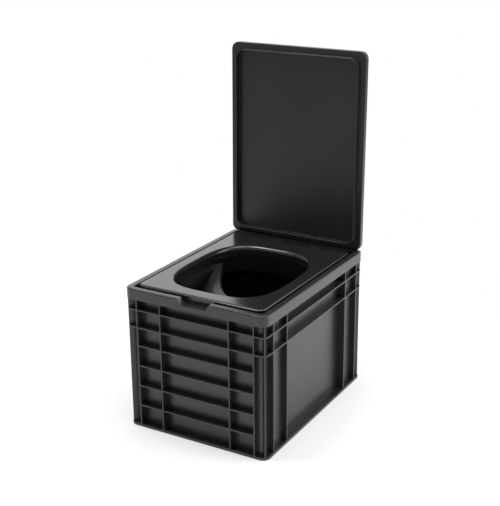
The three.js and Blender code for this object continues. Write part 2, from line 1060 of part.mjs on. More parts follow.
function makeBucket() {
  const outer = skin([bucketLoop(bucketBottom, 0), bucketLoop(bucketTop, 0)]);
  const inner = skin([
    bucketLoop(bucketBottom + bucket.wall, bucket.wall),
    bucketLoop(bucketTop + overrun, bucket.wall),
  ]);
  const bead = skin([
    bucketLoop(bucketTop - bucket.beadHeight, -bucket.bead),
    bucketLoop(bucketTop, -bucket.bead),
  ]);
  const shell = joined([outer, bead, ...bucketEars(), ...bailRests()]);
  const bore = crossRod(bail.radius + touchGap, 0, bucketMiddle, bailZ, crate.width);
  return without(shell, [inner, bore]);
}

// The bail lies forward beside the rim: two arms, a cross wire, and ends turned into the ears.
function bailPath() {
  const side = bucketSide + bail.offset;
  const frontY = bucket.front - bail.reach;
  const half = [
    new THREE.Vector3(bucketSide - bail.tuck, bucketMiddle, bailZ),
    new THREE.Vector3(side, bucketMiddle, bailZ),
    new THREE.Vector3(side, frontY + bail.corner, bailZ),
    new THREE.Vector3(side - bail.corner, frontY, bailZ),
  ];
  const other = half.map((p) => new THREE.Vector3(-p.x, p.y, p.z)).toReversed();
  return half.concat(other);
}

function makeBail() {
  const path = bailPath();
  const wires = [];
  for (let i = 0; i + 1 < path.length; i += 1) {
    wires.push(wire(path[i], path[i + 1]));
  }
  const knobs = path.slice(1, -1).map((p) => {
    const ball = new THREE.SphereGeometry(bail.radius, steps.bend, steps.hex);
    ball.translate(p.x, p.y, p.z);
    return solidFrom(ball);
  });
  return joined([...wires, ...knobs]);
}

function wire(from, to) {
  const along = to.clone().sub(from);
  const length = along.length();
  const geometry = new THREE.CylinderGeometry(bail.radius, bail.radius, length, steps.wire);
  const turn = new THREE.Quaternion().setFromUnitVectors(
    new THREE.Vector3(0, 1, 0),
    along.clone().normalize(),
  );
  geometry.applyQuaternion(turn);
  const middle = from.clone().add(to).multiplyScalar(1 / 2);
  geometry.translate(middle.x, middle.y, middle.z);
  return solidFrom(geometry);
}

function makeGrip() {
  const y = bucket.front - bail.reach;
  const outer = crossRod(grip.radius, 0, y, bailZ, grip.length, steps.round);
  const bore = crossRod(bail.radius + touchGap, 0, y, bailZ, grip.length + overrun, steps.small);
  return outer.subtract(bore);
}

// The canister.

const capTop = sealBottom - touchGap;
const neckTop = capTop - cap.top - gasket.thickness - 2 * touchGap;
const canisterTop = neckTop - canister.neckHeight - bond;

function canisterLoop(z, inset) {
  const side = wallHalfX - canister.sideGap - inset;
  const front = -wallHalfY + canister.front + inset;
  const rear = bucket.front - canister.rear - inset;
  const radius = canister.radius - Math.min(inset, canister.wall);
  return loopAt(outline(-side, side, front, rear, radius), z);
}

function canisterHull(inset) {
  const bottom = crate.floor + touchGap + inset;
  const top = canisterTop - inset;
  const edge = canister.shoulder - inset;
  const chamfer = canister.shoulder / 2;
  return skin([
    canisterLoop(bottom, inset + chamfer / 2),
    canisterLoop(bottom + chamfer / 2, inset),
    canisterLoop(top - edge, inset),
    canisterLoop(top, inset + chamfer),
  ]);
}

function makeCanister() {
  const neck = upright(canister.neckRadius, 0, drainY, canisterTop - canister.shoulder, neckTop);
  const bore = upright(
    canister.neckRadius - canister.neckWall,
    0,
    drainY,
    canisterTop - canister.shoulder - overrun,
    neckTop + overrun,
  );
  const shell = joined([canisterHull(0), neck]);
  return without(shell, [canisterHull(canister.wall), bore]);
}

function makeCap() {
  const inner = canister.neckRadius + 2 * touchGap;
  const outer = inner + cap.wall;
  const bottom = capTop - cap.skirt;
  const body = upright(outer, 0, drainY, bottom, capTop);
  const hollow = upright(inner, 0, drainY, bottom - overrun, capTop - cap.top);
  const bore = upright(cap.bore, 0, drainY, bottom, capTop + overrun);
  const grips = Array.from({ length: cap.gripCount }, (_, i) => {
    const angle = (2 * Math.PI * i) / cap.gripCount;
    const at = outer + cap.gripDepth;
    const x = at * Math.cos(angle);
    const y = drainY + at * Math.sin(angle);
    return upright(2 * cap.gripDepth, x, y, bottom - overrun, capTop + overrun, steps.hex);
  });
  return without(body, [hollow, bore, ...grips]);
}

function makeGasket() {
  const top = capTop - cap.top - touchGap;
  const outer = canister.neckRadius;
  const ring = upright(outer, 0, drainY, top - gasket.thickness, top);
  const hole = upright(
    outer - gasket.width,
    0,
    drainY,
    top - gasket.thickness - overrun,
    top + overrun,
  );
  return ring.subtract(hole);
}

// Finished meshes.

const looks = {
  boxPlastic: { color: 0x1c1c1d, roughness: 0.42, metalness: 0 },
  lidPlastic: { color: 0x1a1a1b, roughness: 0.45, metalness: 0 },
  seatPlastic: { color: 0x222223, roughness: 0.3, metalness: 0 },
  bowlPlastic: { color: 0x1d1d1e, roughness: 0.25, metalness: 0 },
  hingePlastic: { color: 0x202021, roughness: 0.5, metalness: 0 },
  bucketPlastic: { color: 0x2a2a2b, roughness: 0.5, metalness: 0 },
  canisterPlastic: { color: 0xdedfd8, roughness: 0.4, metalness: 0 },
  capPlastic: { color: 0x222223, roughness: 0.45, metalness: 0 },
  sealRubber: { color: 0x2b2b2b, roughness: 0.8, metalness: 0 },
  steel: { color: 0xb5b7ba, roughness: 0.3, metalness: 1 },
};

function meshOf(name, solid, look) {
  const { vertProperties, triVerts, numProp, numVert } = solid.getMesh();
  const positions = new Float32Array(numVert * 3);
  for (let i = 0; i < numVert; i += 1) {
    positions.set(vertProperties.subarray(i * numProp, i * numProp + 3), i * 3);
  }
  const geometry = new THREE.BufferGeometry();
  geometry.setAttribute("position", new THREE.BufferAttribute(positions, 3));
  geometry.setIndex(new THREE.BufferAttribute(new Uint32Array(triVerts), 1));
  const flat = geometry.toNonIndexed();
  flat.computeVertexNormals();
  const mesh = new THREE.Mesh(flat, new THREE.MeshStandardMaterial(looks[look]));
  mesh.name = name;
  return mesh;
}

const [leftX, rightX] = hingeCentres();
const part = new THREE.Group();
part.name = "dry_toilet";
part.add(
  meshOf("crate", makeCrate(), "boxPlastic"),
  meshOf("hinge_bracket_left", makeBracket(leftX), "hingePlastic"),
  meshOf("hinge_bracket_right", makeBracket(rightX), "hingePlastic"),
  meshOf("lid", makeLid(), "lidPlastic"),
  meshOf("hinge_pin_left", makePin(leftX), "steel"),
  meshOf("hinge_pin_right", makePin(rightX), "steel"),
  meshOf("insert_plate", makePlate(), "seatPlastic"),
  meshOf("separator_bowl", makeBowl(), "bowlPlastic"),
  ...screwPlaces().map((place, i) => meshOf("bowl_screw_" + (i + 1), makeScrew(place), "steel")),
  meshOf("drain_seal", makeSeal(), "sealRubber"),
  meshOf("solids_bucket", makeBucket(), "bucketPlastic"),
  meshOf("bucket_bail", makeBail(), "steel"),
  meshOf("bail_grip", makeGrip(), "bucketPlastic"),
  meshOf("urine_canister", makeCanister(), "canisterPlastic"),
  meshOf("canister_cap", makeCap(), "capPlastic"),
  meshOf("cap_seal", makeGasket(), "sealRubber"),
);

export default part;
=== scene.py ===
import math
import bpy
import bmesh
from mathutils import Matrix, Vector


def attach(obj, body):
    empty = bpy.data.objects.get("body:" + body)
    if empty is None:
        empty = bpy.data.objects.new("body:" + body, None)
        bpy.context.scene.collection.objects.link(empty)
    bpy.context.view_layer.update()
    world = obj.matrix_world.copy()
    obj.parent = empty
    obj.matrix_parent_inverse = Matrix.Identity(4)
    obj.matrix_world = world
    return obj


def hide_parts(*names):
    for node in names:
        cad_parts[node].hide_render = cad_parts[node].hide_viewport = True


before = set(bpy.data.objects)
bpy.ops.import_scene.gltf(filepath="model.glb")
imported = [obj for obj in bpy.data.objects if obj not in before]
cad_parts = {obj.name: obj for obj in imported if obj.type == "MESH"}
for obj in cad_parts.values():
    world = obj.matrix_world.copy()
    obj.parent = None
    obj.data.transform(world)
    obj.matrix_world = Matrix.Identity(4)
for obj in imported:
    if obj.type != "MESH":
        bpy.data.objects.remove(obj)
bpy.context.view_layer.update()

print("frame loaded:", len(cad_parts), "nodes")

# Sizes in the dictionaries are millimetres, as in the CAD. Z is up and the front is at -Y.
mm = 0.001
past = 5   # how far a cut reaches beyond what it cuts
outside = 160   # half a length that clears both sides of the object
quarter = math.pi / 2
fullTurn = 2 * math.pi
scene = bpy.context.scene

lidLean = math.radians(1)
hingeAxis = (192.25, 287.15)   # y and z of the lid's pins
hingeCentres = (-44, 44)


def makeMesh(name, points, faces):
    mesh = bpy.data.meshes.new(name)
    mesh.from_pydata([(x * mm, y * mm, z * mm) for x, y, z in points], [], faces)
    bm = bmesh.new()
    bm.from_mesh(mesh)
    bmesh.ops.remove_doubles(bm, verts=bm.verts, dist=0.002 * mm)
    bmesh.ops.recalc_face_normals(bm, faces=bm.faces)
    if bm.calc_volume(signed=True) < 0:
        bmesh.ops.reverse_faces(bm, faces=bm.faces)
    bm.to_mesh(mesh)
    bm.free()
    obj = bpy.data.objects.new(name, mesh)
    scene.collection.objects.link(obj)
    return obj


def loopBody(name, loops, closed=False):
    # equal loops of points, joined into one closed body
    size = len(loops[0])
    points = [p for loop in loops for p in loop]
    spans = len(loops) if closed else len(loops) - 1
    faces = []
    for i in range(spans):
        here, there = i * size, ((i + 1) % len(loops)) * size
        for j in range(size):
            k = (j + 1) % size
            faces.append((here + j, here + k, there + k, there + j))
    if not closed:
        last = spans * size
        faces.append(tuple(range(size)))
        faces.append(tuple(range(last, last + size)))
    return makeMesh(name, points, faces)


def eased(corners, steps=3):
    # a closed polygon of (a, b, radius) corners with each corner rounded by its radius
    out = []
    count = len(corners)
    for i, (a, b, radius) in enumerate(corners):
        here = Vector((a, b))
        if radius <= 0:
            out.append((a, b))
            continue
        before = Vector(corners[i - 1][:2]) - here
        after = Vector(corners[(i + 1) % count][:2]) - here
        half = before.angle(after) / 2
        reach = min(radius / math.tan(half), before.length * 0.48, after.length * 0.48)
        true = reach * math.tan(half)
        centre = here + (before.normalized() + after.normalized()).normalized() * (true / math.sin(half))
        start = here + before.normalized() * reach - centre
        end = here + after.normalized() * reach - centre
        turn = math.atan2(start.x * end.y - start.y * end.x, start.dot(end))
        first = math.atan2(start.y, start.x)
        for k in range(steps + 1):
            angle = first + turn * k / steps
            out.append((centre.x + true * math.cos(angle), centre.y + true * math.sin(angle)))
    return out


def rectLoop(minX, maxX, minY, maxY, radius, steps=8, sides=1):
    # rounded rectangle as (x, y) points, always the same number of them
    radius = max(radius, 0.2)
    out = []
    corners = ((maxX - radius, minY + radius, -quarter), (maxX - radius, maxY - radius, 0),
               (minX + radius, maxY - radius, quarter), (minX + radius, minY + radius, 2 * quarter))
    for i, (cx, cy, first) in enumerate(corners):
        arc = [(cx + radius * math.cos(first + quarter * k / steps),
                cy + radius * math.sin(first + quarter * k / steps)) for k in range(steps + 1)]
        out += arc
        nx, ny, nFirst = corners[(i + 1) % 4]
        start = arc[-1]
        end = (nx + radius * math.cos(nFirst), ny + radius * math.sin(nFirst))
        for k in range(1, sides):
            share = k / sides
            out.append((start[0] + (end[0] - start[0]) * share, start[1] + (end[1] - start[1]) * share))
    return out


def at(loop, z):
    return [(x, y, z) for x, y in loop]


def bar(name, lowX, highX, lowY, highY, lowZ, highZ, radius=0.7, axis="z"):
    # a straight bar with its long edges rounded, and its ends eased by the same radius
    spans = {"x": (lowX, highX, lowY, highY, lowZ, highZ), "y": (lowY, highY, lowX, highX, lowZ, highZ),
             "z": (lowZ, highZ, lowX, highX, lowY, highY)}
    turns = {"x": lambda a, b, c: (a, b, c), "y": lambda a, b, c: (b, a, c), "z": lambda a, b, c: (b, c, a)}
    a0, a1, b0, b1, c0, c1 = spans[axis]
    ease = min(radius, (b1 - b0) * 0.45, (c1 - c0) * 0.45, (a1 - a0) * 0.45)
    stations = [(a0, ease), (a0 + ease * 0.3, ease * 0.3), (a0 + ease, 0),
                (a1 - ease, 0), (a1 - ease * 0.3, ease * 0.3), (a1, ease)]
    loops = []
    for a, inset in stations:
        corner = max(ease - inset * 0.5, 0.2)
        flat = rectLoop(b0 + inset, b1 - inset, c0 + inset, c1 - inset, corner, steps=3)
        loops.append([turns[axis](a, b, c) for b, c in flat])
    return loopBody(name, loops)


def circle(radius, count):
    angles = [fullTurn * k / count for k in range(count)]
    return [(radius * math.cos(a), radius * math.sin(a)) for a in angles]


def turned(name, profile, x=0, y=0, z=0, along="z", count=48, ripple=None):
    # a closed (radius, height) profile turned round an axis through x, y, z
    loops = []
    for i in range(count):
        angle = fullTurn * i / count
        loop = []
        for radius, h in profile:
            r = radius + (ripple(angle, radius, h) if ripple else 0)
            if along == "z":
                loop.append((x + r * math.cos(angle), y + r * math.sin(angle), z + h))
            else:
                loop.append((x + h, y + r * math.cos(angle), z + r * math.sin(angle)))
        loops.append(loop)
    return loopBody(name, loops, closed=True)


def rod(name, radius, low, high, x=0, y=0, z=0, along="z", ease=0.5, count=40):
    # a round bar with eased ends
    ease = min(ease, radius * 0.5, (high - low) * 0.45)
    stations = [(radius - ease, low), (radius - ease * 0.3, low + ease * 0.3), (radius, low + ease),
                (radius, high - ease), (radius - ease * 0.3, high - ease * 0.3), (radius - ease, high)]
    loops = []
    for r, h in stations:
        ring = circle(r, count)
        if along == "z":
            loops.append([(x + a, y + b, z + h) for a, b in ring])
        else:
            loops.append([(x + h, y + a, z + b) for a, b in ring])
    return loopBody(name, loops)


def combine(base, others, operation="UNION"):
    for other in others:
        change = base.modifiers.new("combine", "BOOLEAN")
        change.operation = operation
        change.solver = "MANIFOLD"
        change.object = other
        result = bpy.data.meshes.new_from_object(base.evaluated_get(bpy.context.evaluated_depsgraph_get()))
        base.modifiers.clear()
        base.data = result
        bpy.data.objects.remove(other)
    return base


def finishShape(obj, angle=32):
    mesh = obj.data
    bm = bmesh.new()
    bm.from_mesh(mesh)
    bmesh.ops.remove_doubles(bm, verts=bm.verts, dist=0.004 * mm)
    bmesh.ops.dissolve_degenerate(bm, dist=0.002 * mm, edges=bm.edges)
    limit = math.radians(angle)
    for face in bm.faces:
        face.smooth = True
    for edge in bm.edges:
        edge.smooth = len(edge.link_faces) == 2 and edge.calc_face_angle(0) < limit
    bm.to_mesh(mesh)
    bm.free()
    even = obj.modifiers.new("even shading", "WEIGHTED_NORMAL")
    even.keep_sharp = True
    even.weight = 80
    return obj


def place(obj, name, node, body, material):
    obj.name = name
    obj.data.name = name
    obj.data.materials.clear()
    obj.data.materials.append(material)
    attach(obj, body)
    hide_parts(*([node] if isinstance(node, str) else node))
    return obj


def newMaterial(name):
    material = bpy.data.materials.new(name)
    material.use_nodes = True
    return material, material.node_tree, material.node_tree.nodes["Principled BSDF"]


def setInputs(tree, node, inputs):
    # each input gets a value of its own or a link from another node's output
    for name, value in inputs.items():
        if isinstance(value, bpy.types.NodeSocket):
            tree.links.new(value, node.inputs[name])
        else:
            node.inputs[name].default_value = value


def addNode(tree, kind, inputs):
    node = tree.nodes.new("ShaderNode" + kind)
    setInputs(tree, node, inputs)
    return node


def noise(tree, vector, scale, detail=3, rough=0.5):
    inputs = {"Vector": vector, "Scale": scale, "Detail": detail, "Roughness": rough}
    return addNode(tree, "TexNoise", inputs).outputs["Fac"]


def spread(tree, value, low, high, fromLow=0.3, fromHigh=0.7):
    inputs = {"Value": value, "From Min": fromLow, "From Max": fromHigh, "To Min": low, "To Max": high}
    return addNode(tree, "MapRange", inputs).outputs["Result"]


def stretched(tree, vector, scale):
    return addNode(tree, "Mapping", {"Vector": vector, "Scale": scale}).outputs["Vector"]


def blended(tree, value, look, low, high):
    # from the dark colour to the light one as the value goes from low to high
    ramp = addNode(tree, "ValToRGB", {"Fac": value})
    for stop, position, colour in zip(ramp.color_ramp.elements, (low, high), (look["dark"], look["light"])):
        stop.position = position
        stop.color = (*colour, 1)
    return ramp.outputs["Color"]


def bumped(tree, height, strength, depth, normal=None):
    inputs = {"Height": height, "Strength": strength, "Distance": depth}
    if normal:
        inputs["Normal"] = normal
    return addNode(tree, "Bump", inputs).outputs["Normal"]


def mouldedPlastic(name, look):
    # moulded plastic: uneven colour and gloss, fine grain, faint flow marks and hairline scratches
    material, tree, shader = newMaterial(name)
    where = addNode(tree, "TexCoord", {}).outputs["Object"]
    cloud = noise(tree, where, look["cloudScale"], 4)
    flow = noise(tree, stretched(tree, where, look["flow"]), look["flowScale"])
    grain = noise(tree, where, look["grainScale"], 2)
    scratch = noise(tree, stretched(tree, where, look["scratch"]), 60, 2, 0.6)
    relief = bumped(tree, grain, look["grain"], 0.0004)
    relief = bumped(tree, spread(tree, scratch, 0, 1, 0.62, 0.7), look["scratches"], 0.0002, relief)
    setInputs(tree, shader, {"Base Color": blended(tree, cloud, look, 0.3, 0.7), "IOR": look["ior"],
                             "Roughness": spread(tree, flow, *look["roughness"]), "Normal": relief})
    return material


def brushedSteel(name, look):
    # zinc-plated wire and screws: drawn lines along the piece and a cloudy tint
    material, tree, shader = newMaterial(name)
    where = addNode(tree, "TexCoord", {}).outputs["Object"]
    lines = noise(tree, stretched(tree, where, look["lines"]), 90)
    tint = blended(tree, noise(tree, where, 70), look, 0, 1)
    setInputs(tree, shader, {"Base Color": tint, "Metallic": 1, "Normal": bumped(tree, lines, 0.15, 0.0002),
                             "Roughness": spread(tree, lines, *look["roughness"])})
    return material


boxPlastic = mouldedPlastic("box_plastic", {
    "dark": (0.013, 0.013, 0.0133), "light": (0.017, 0.017, 0.0173), "roughness": (0.32, 0.36),
    "cloudScale": 9, "flow": (1, 1, 0.6), "flowScale": 7, "grainScale": 900, "grain": 0.1,
    "scratch": (14, 14, 1), "scratches": 0.03, "ior": 1.58})
lidPlastic = mouldedPlastic("lid_plastic", {
    "dark": (0.008, 0.008, 0.0082), "light": (0.011, 0.011, 0.0112), "roughness": (0.32, 0.4),
    "cloudScale": 7, "flow": (1, 1, 0.5), "flowScale": 8, "grainScale": 1100, "grain": 0.12,
    "scratch": (14, 1, 1), "scratches": 0.05, "ior": 1.46})
seatPlastic = mouldedPlastic("seat_plastic", {
    "dark": (0.01, 0.01, 0.0102), "light": (0.013, 0.013, 0.0133), "roughness": (0.17, 0.24),
    "cloudScale": 8, "flow": (1, 0.5, 1), "flowScale": 6, "grainScale": 1300, "grain": 0.05,
    "scratch": (12, 1, 1), "scratches": 0.04, "ior": 1.58})
bowlPlastic = mouldedPlastic("bowl_plastic", {
    "dark": (0.0045, 0.0045, 0.0046), "light": (0.0065, 0.0065, 0.0066), "roughness": (0.27, 0.35),
    "cloudScale": 10, "flow": (1, 1, 0.5), "flowScale": 8, "grainScale": 1200, "grain": 0.06,
    "scratch": (12, 1, 1), "scratches": 0.03, "ior": 1.6})
hingePlastic = mouldedPlastic("hinge_plastic", {
    "dark": (0.012, 0.012, 0.0122), "light": (0.017, 0.017, 0.0173), "roughness": (0.4, 0.5),
    "cloudScale": 40, "flow": (1, 1, 1), "flowScale": 30, "grainScale": 1500, "grain": 0.15,
    "scratch": (8, 1, 1), "scratches": 0.06, "ior": 1.5})
bucketPlastic = mouldedPlastic("bucket_plastic", {
    "dark": (0.009, 0.009, 0.0091), "light": (0.012, 0.012, 0.0122), "roughness": (0.42, 0.55),
    "cloudScale": 12, "flow": (2, 2, 0.4), "flowScale": 10, "grainScale": 900, "grain": 0.15,
    "scratch": (1, 1, 10), "scratches": 0.08, "ior": 1.5})
canisterPlastic = mouldedPlastic("canister_plastic", {
    "dark": (0.62, 0.63, 0.57), "light": (0.72, 0.73, 0.68), "roughness": (0.34, 0.46),
    "cloudScale": 10, "flow": (1, 1, 3), "flowScale": 9, "grainScale": 700, "grain": 0.1,
    "scratch": (10, 1, 1), "scratches": 0.05, "ior": 1.5})
capPlastic = mouldedPlastic("cap_plastic", {
    "dark": (0.02, 0.02, 0.021), "light": (0.03, 0.03, 0.031), "roughness": (0.36, 0.5),
    "cloudScale": 40, "flow": (1, 1, 2), "flowScale": 20, "grainScale": 1400, "grain": 0.12,
    "scratch": (8, 1, 1), "scratches": 0.06, "ior": 1.5})
sealRubber = mouldedPlastic("seal_rubber", {
    "dark": (0.026, 0.026, 0.026), "light": (0.038, 0.038, 0.038), "roughness": (0.7, 0.85),
    "cloudScale": 60, "flow": (1, 1, 1), "flowScale": 40, "grainScale": 2200, "grain": 0.3,
    "scratch": (3, 1, 1), "scratches": 0.02, "ior": 1.45})
zincSteel = brushedSteel("zinc_steel", {
    "dark": (0.45, 0.46, 0.47), "light": (0.66, 0.67, 0.68), "roughness": (0.24, 0.38), "lines": (1, 9, 9)})
print("materials made")


# wallOuter, wallInner, riser, opening, skin, column and middle are insets from the box's outline
crate = {
    "halfX": 150, "halfY": 200, "height": 280, "corner": 15, "wallCorner": 10, "openingCorner": 6,
    "wallOuter": 16, "wallInner": 18.5, "floor": 3, "flange": 5, "middle": 60,
    "rimLow": 259, "skin": 2.5, "deck": 277.2, "riser": 10.3, "opening": 12.8,
    "ledge": 270, "ledgeLow": 267.2,
    "column": 10.6, "columnCorner": 15,   # inset and rounding of the thicker corners
    "ribs": 3, "ribSetBack": 0.8, "ribRounding": 0.8, "frontRibs": (124, 73), "sideRibs": (170.5, 120.5),
    "wrapRibs": (240.5, 205.5), "lowRibs": (169, 128.5, 87.5, 46.5),   # tops of the level ribs
    "notchTop": 34, "notchLow": 25, "notchFloor": 268, "notchShift": 1, "notchWall": 2.5, "notchRounding": 3,
    "pocketX": 8.3, "pocketY": (190.25, 195.85), "pocketZ": (270, 285),
}


def crateLoop(inset, z):
    # the wall's corner is rounder than the rim's opening
    radius = crate["corner"] - inset
    if inset >= crate["wallOuter"] - 1:
        radius = crate["wallCorner"] + crate["wallInner"] - inset
    radius = max(radius, crate["openingCorner"])
    x, y = crate["halfX"] - inset, crate["halfY"] - inset
    return at(rectLoop(-x, x, -y, y, radius, steps=10), z)


def crateBody():
    c = crate
    corners = [
        (c["middle"], c["floor"], 0), (c["wallInner"], c["floor"], 2.2), (c["wallInner"], c["ledge"], 0.8),
        (c["opening"], c["ledge"], 0.4), (c["opening"], c["height"], 2), (0, c["height"], 2.6),
        (0, c["rimLow"], 0.8), (c["skin"], c["rimLow"], 0.8), (c["skin"], c["deck"], 0.5),
        (c["riser"], c["deck"], 0.5), (c["riser"], c["ledgeLow"], 0.5), (c["wallOuter"], c["ledgeLow"], 0.6),
        (c["wallOuter"], c["flange"], 0.3), (0, c["flange"], 0.9), (0, 0, 1), (c["middle"], 0, 0),
    ]
    return loopBody("crate", [crateLoop(inset, z) for inset, z in eased(corners)])


def uprightRibs(inset, root, low, high):
    c = crate
    half, r = c["ribs"] / 2, c["ribRounding"]
    outX, outY = c["halfX"] - c["ribSetBack"], c["halfY"] - c["ribSetBack"]
    inX, inY = c["halfX"] - inset, c["halfY"] - inset
    ribs = []
    for x in c["frontRibs"]:
        for s in (-1, 1):
            for span in ((-outY, -inY), (inY, outY)):
                ribs.append(bar("rib", s * x - half, s * x + half, *span, low, high, r))
    for y in c["sideRibs"]:
        for s in (-1, 1):
            for span in ((-outX, -inX), (inX, outX)):
                ribs.append(bar("rib", *span, s * y - half, s * y + half, low, high, r))
    for sx in (-1, 1):
        for sy in (-1, 1):
            rib = bar("rib", root, c["corner"] - c["ribSetBack"], -half, half, low, high, r)
            turn = Matrix.Rotation(math.atan2(sy, sx), 4, "Z")
            x, y = (c["halfX"] - c["corner"]) * sx, (c["halfY"] - c["corner"]) * sy
            rib.data.transform(Matrix.Translation((x * mm, y * mm, 0)) @ turn)
            ribs.append(rib)
    return ribs


def crateRibs():
    # as deep as the wall up to the ledge, then only inside the rim's channel
    c = crate
    r = c["ribRounding"]
    outY, inY = c["halfY"] - c["ribSetBack"], c["halfY"] - c["wallInner"] + 1
    ribs = uprightRibs(c["wallInner"] - 1, -6.4, c["flange"] - 2, c["ledgeLow"] + 1)
    ribs += uprightRibs(c["riser"] + 1, 3, c["ledgeLow"] - 1, c["deck"] + 1)
    edge = c["frontRibs"][0]
    for top in c["lowRibs"]:
        for span in ((-outY, -inY), (inY, outY)):
            ribs.append(bar("rib", -edge, edge, *span, top - c["ribs"], top, r, "x"))
    for top in c["wrapRibs"]:
        corners = [(c["ribSetBack"], top - c["ribs"], r), (c["ribSetBack"], top, r),
                   (c["wallInner"] - 1, top, 0), (c["wallInner"] - 1, top - c["ribs"], 0)]
        loops = [crateLoop(inset, z) for inset, z in eased(corners)]
        ribs.append(loopBody("rib", loops, closed=True))
    return ribs


def cornerColumns():
    # round each corner the wall stands further out, from the last front rib to the second side rib
    c = crate
    outX, outY = c["halfX"] - c["column"], c["halfY"] - c["column"]
    root = 1.2   # into the wall
    inX, inY = c["halfX"] - c["wallInner"] + root, c["halfY"] - c["wallInner"] + root
    edgeX, edgeY = c["frontRibs"][0], c["sideRibs"][1]
    plan = eased([(edgeX, outY, 0), (outX, outY, c["columnCorner"]), (outX, edgeY, 0),
                  (inX, edgeY, 0), (inX, inY, c["wallCorner"] + root), (edgeX, inY, 0)], 10)
    columns = []
    for sx in (-1, 1):
        for sy in (-1, 1):
            flat = [(sx * x, sy * y) for x, y in plan]
            columns.append(loopBody("column", [at(flat, c["flange"] - 2), at(flat, c["ledgeLow"] + 1)]))
    return columns


def notchBody(growth, nearY, farY, radius):
    c = crate
    top, low = c["notchTop"] + growth, c["notchLow"] + growth
    floor, x = c["notchFloor"] - growth, c["notchShift"]
    if growth:
        upper = [(x + top, c["height"] - 0.4, 0), (x - top, c["height"] - 0.4, 0)]
    else:
        upper = [(x + top, c["height"], 0), (x + top, c["height"] + past, 0),
                 (x - top, c["height"] + past, 0), (x - top, c["height"], 0)]
    flat = eased([(x - low, floor, radius), (x + low, floor, radius)] + upper, 4)
    return loopBody("notch", [[(a, y, b) for a, b in flat] for y in (nearY, farY)])


def makeCrate():
    c = crate
    front, r = -c["halfY"], c["notchRounding"]
    body = combine(crateBody(), cornerColumns() + crateRibs())
    combine(body, [notchBody(c["notchWall"], front + 0.3, front + c["opening"], r - 1)])
    cuts = [notchBody(0, front - past, front + c["opening"] + 1, r)]
    for x in hingeCentres:
        cuts.append(bar("pocket", x - c["pocketX"], x + c["pocketX"], *c["pocketY"], *c["pocketZ"], 0.4))
    return finishShape(combine(body, cuts, "DIFFERENCE"))


place(makeCrate(), "ribbed_box", "crate", "crate", boxPlastic)
print("box made")


throat = {"halfX": 105, "y": -20, "front": 128, "rear": 127.5, "frontPower": 3.5, "rearPower": 3.1}


def throatSpan(y):
    end = "rear" if y > throat["y"] else "front"
    return throat[end], throat[end + "Power"]


def throatPoint(angle, offset):
    c, s = math.cos(angle), math.sin(angle)
    reach, power = throatSpan(throat["y"] + s)
    size = abs(c / throat["halfX"]) ** power + abs(s / reach) ** power
    radius = size ** (-1 / power)
    x, y = radius * c, radius * s
    normal = Vector((math.copysign(abs(x / throat["halfX"]) ** (power - 1) / throat["halfX"], c),
                     math.copysign(abs(y / reach) ** (power - 1) / reach, s))).normalized()
    return x + normal.x * offset, throat["y"] + y + normal.y * offset


def throatRing(name, profile, count=192):
    loops = []
    for i in range(count):
        angle = fullTurn * i / count
        loops.append([(*throatPoint(angle, offset), z) for offset, z in profile])
    return loopBody(name, loops, closed=True)


def throatSlab(name, offset, low, high, count=192):
    flat = [throatPoint(fullTurn * i / count, offset) for i in range(count)]
    return loopBody(name, [at(flat, low), at(flat, high)])


plate = {
    "side": 133.2, "front": -183.2, "rear": 175.2, "corner": 16, "top": 283, "thick": 3, "low": 270.3,
    "skirt": 2.5, "edgeReach": 6, "edgeDrop": 2.8, "lip": 8, "collar": 9, "shell": 3, "lipSteps": 10,
    "footReach": 183, "footHeight": 2, "bossRadius": 5, "pilotRadius": 2.05, "pilotTop": 275.8,
}
screwAngles = [math.radians(a) for a in (40, 140, 218, 322)]
screwOffset = 8.5


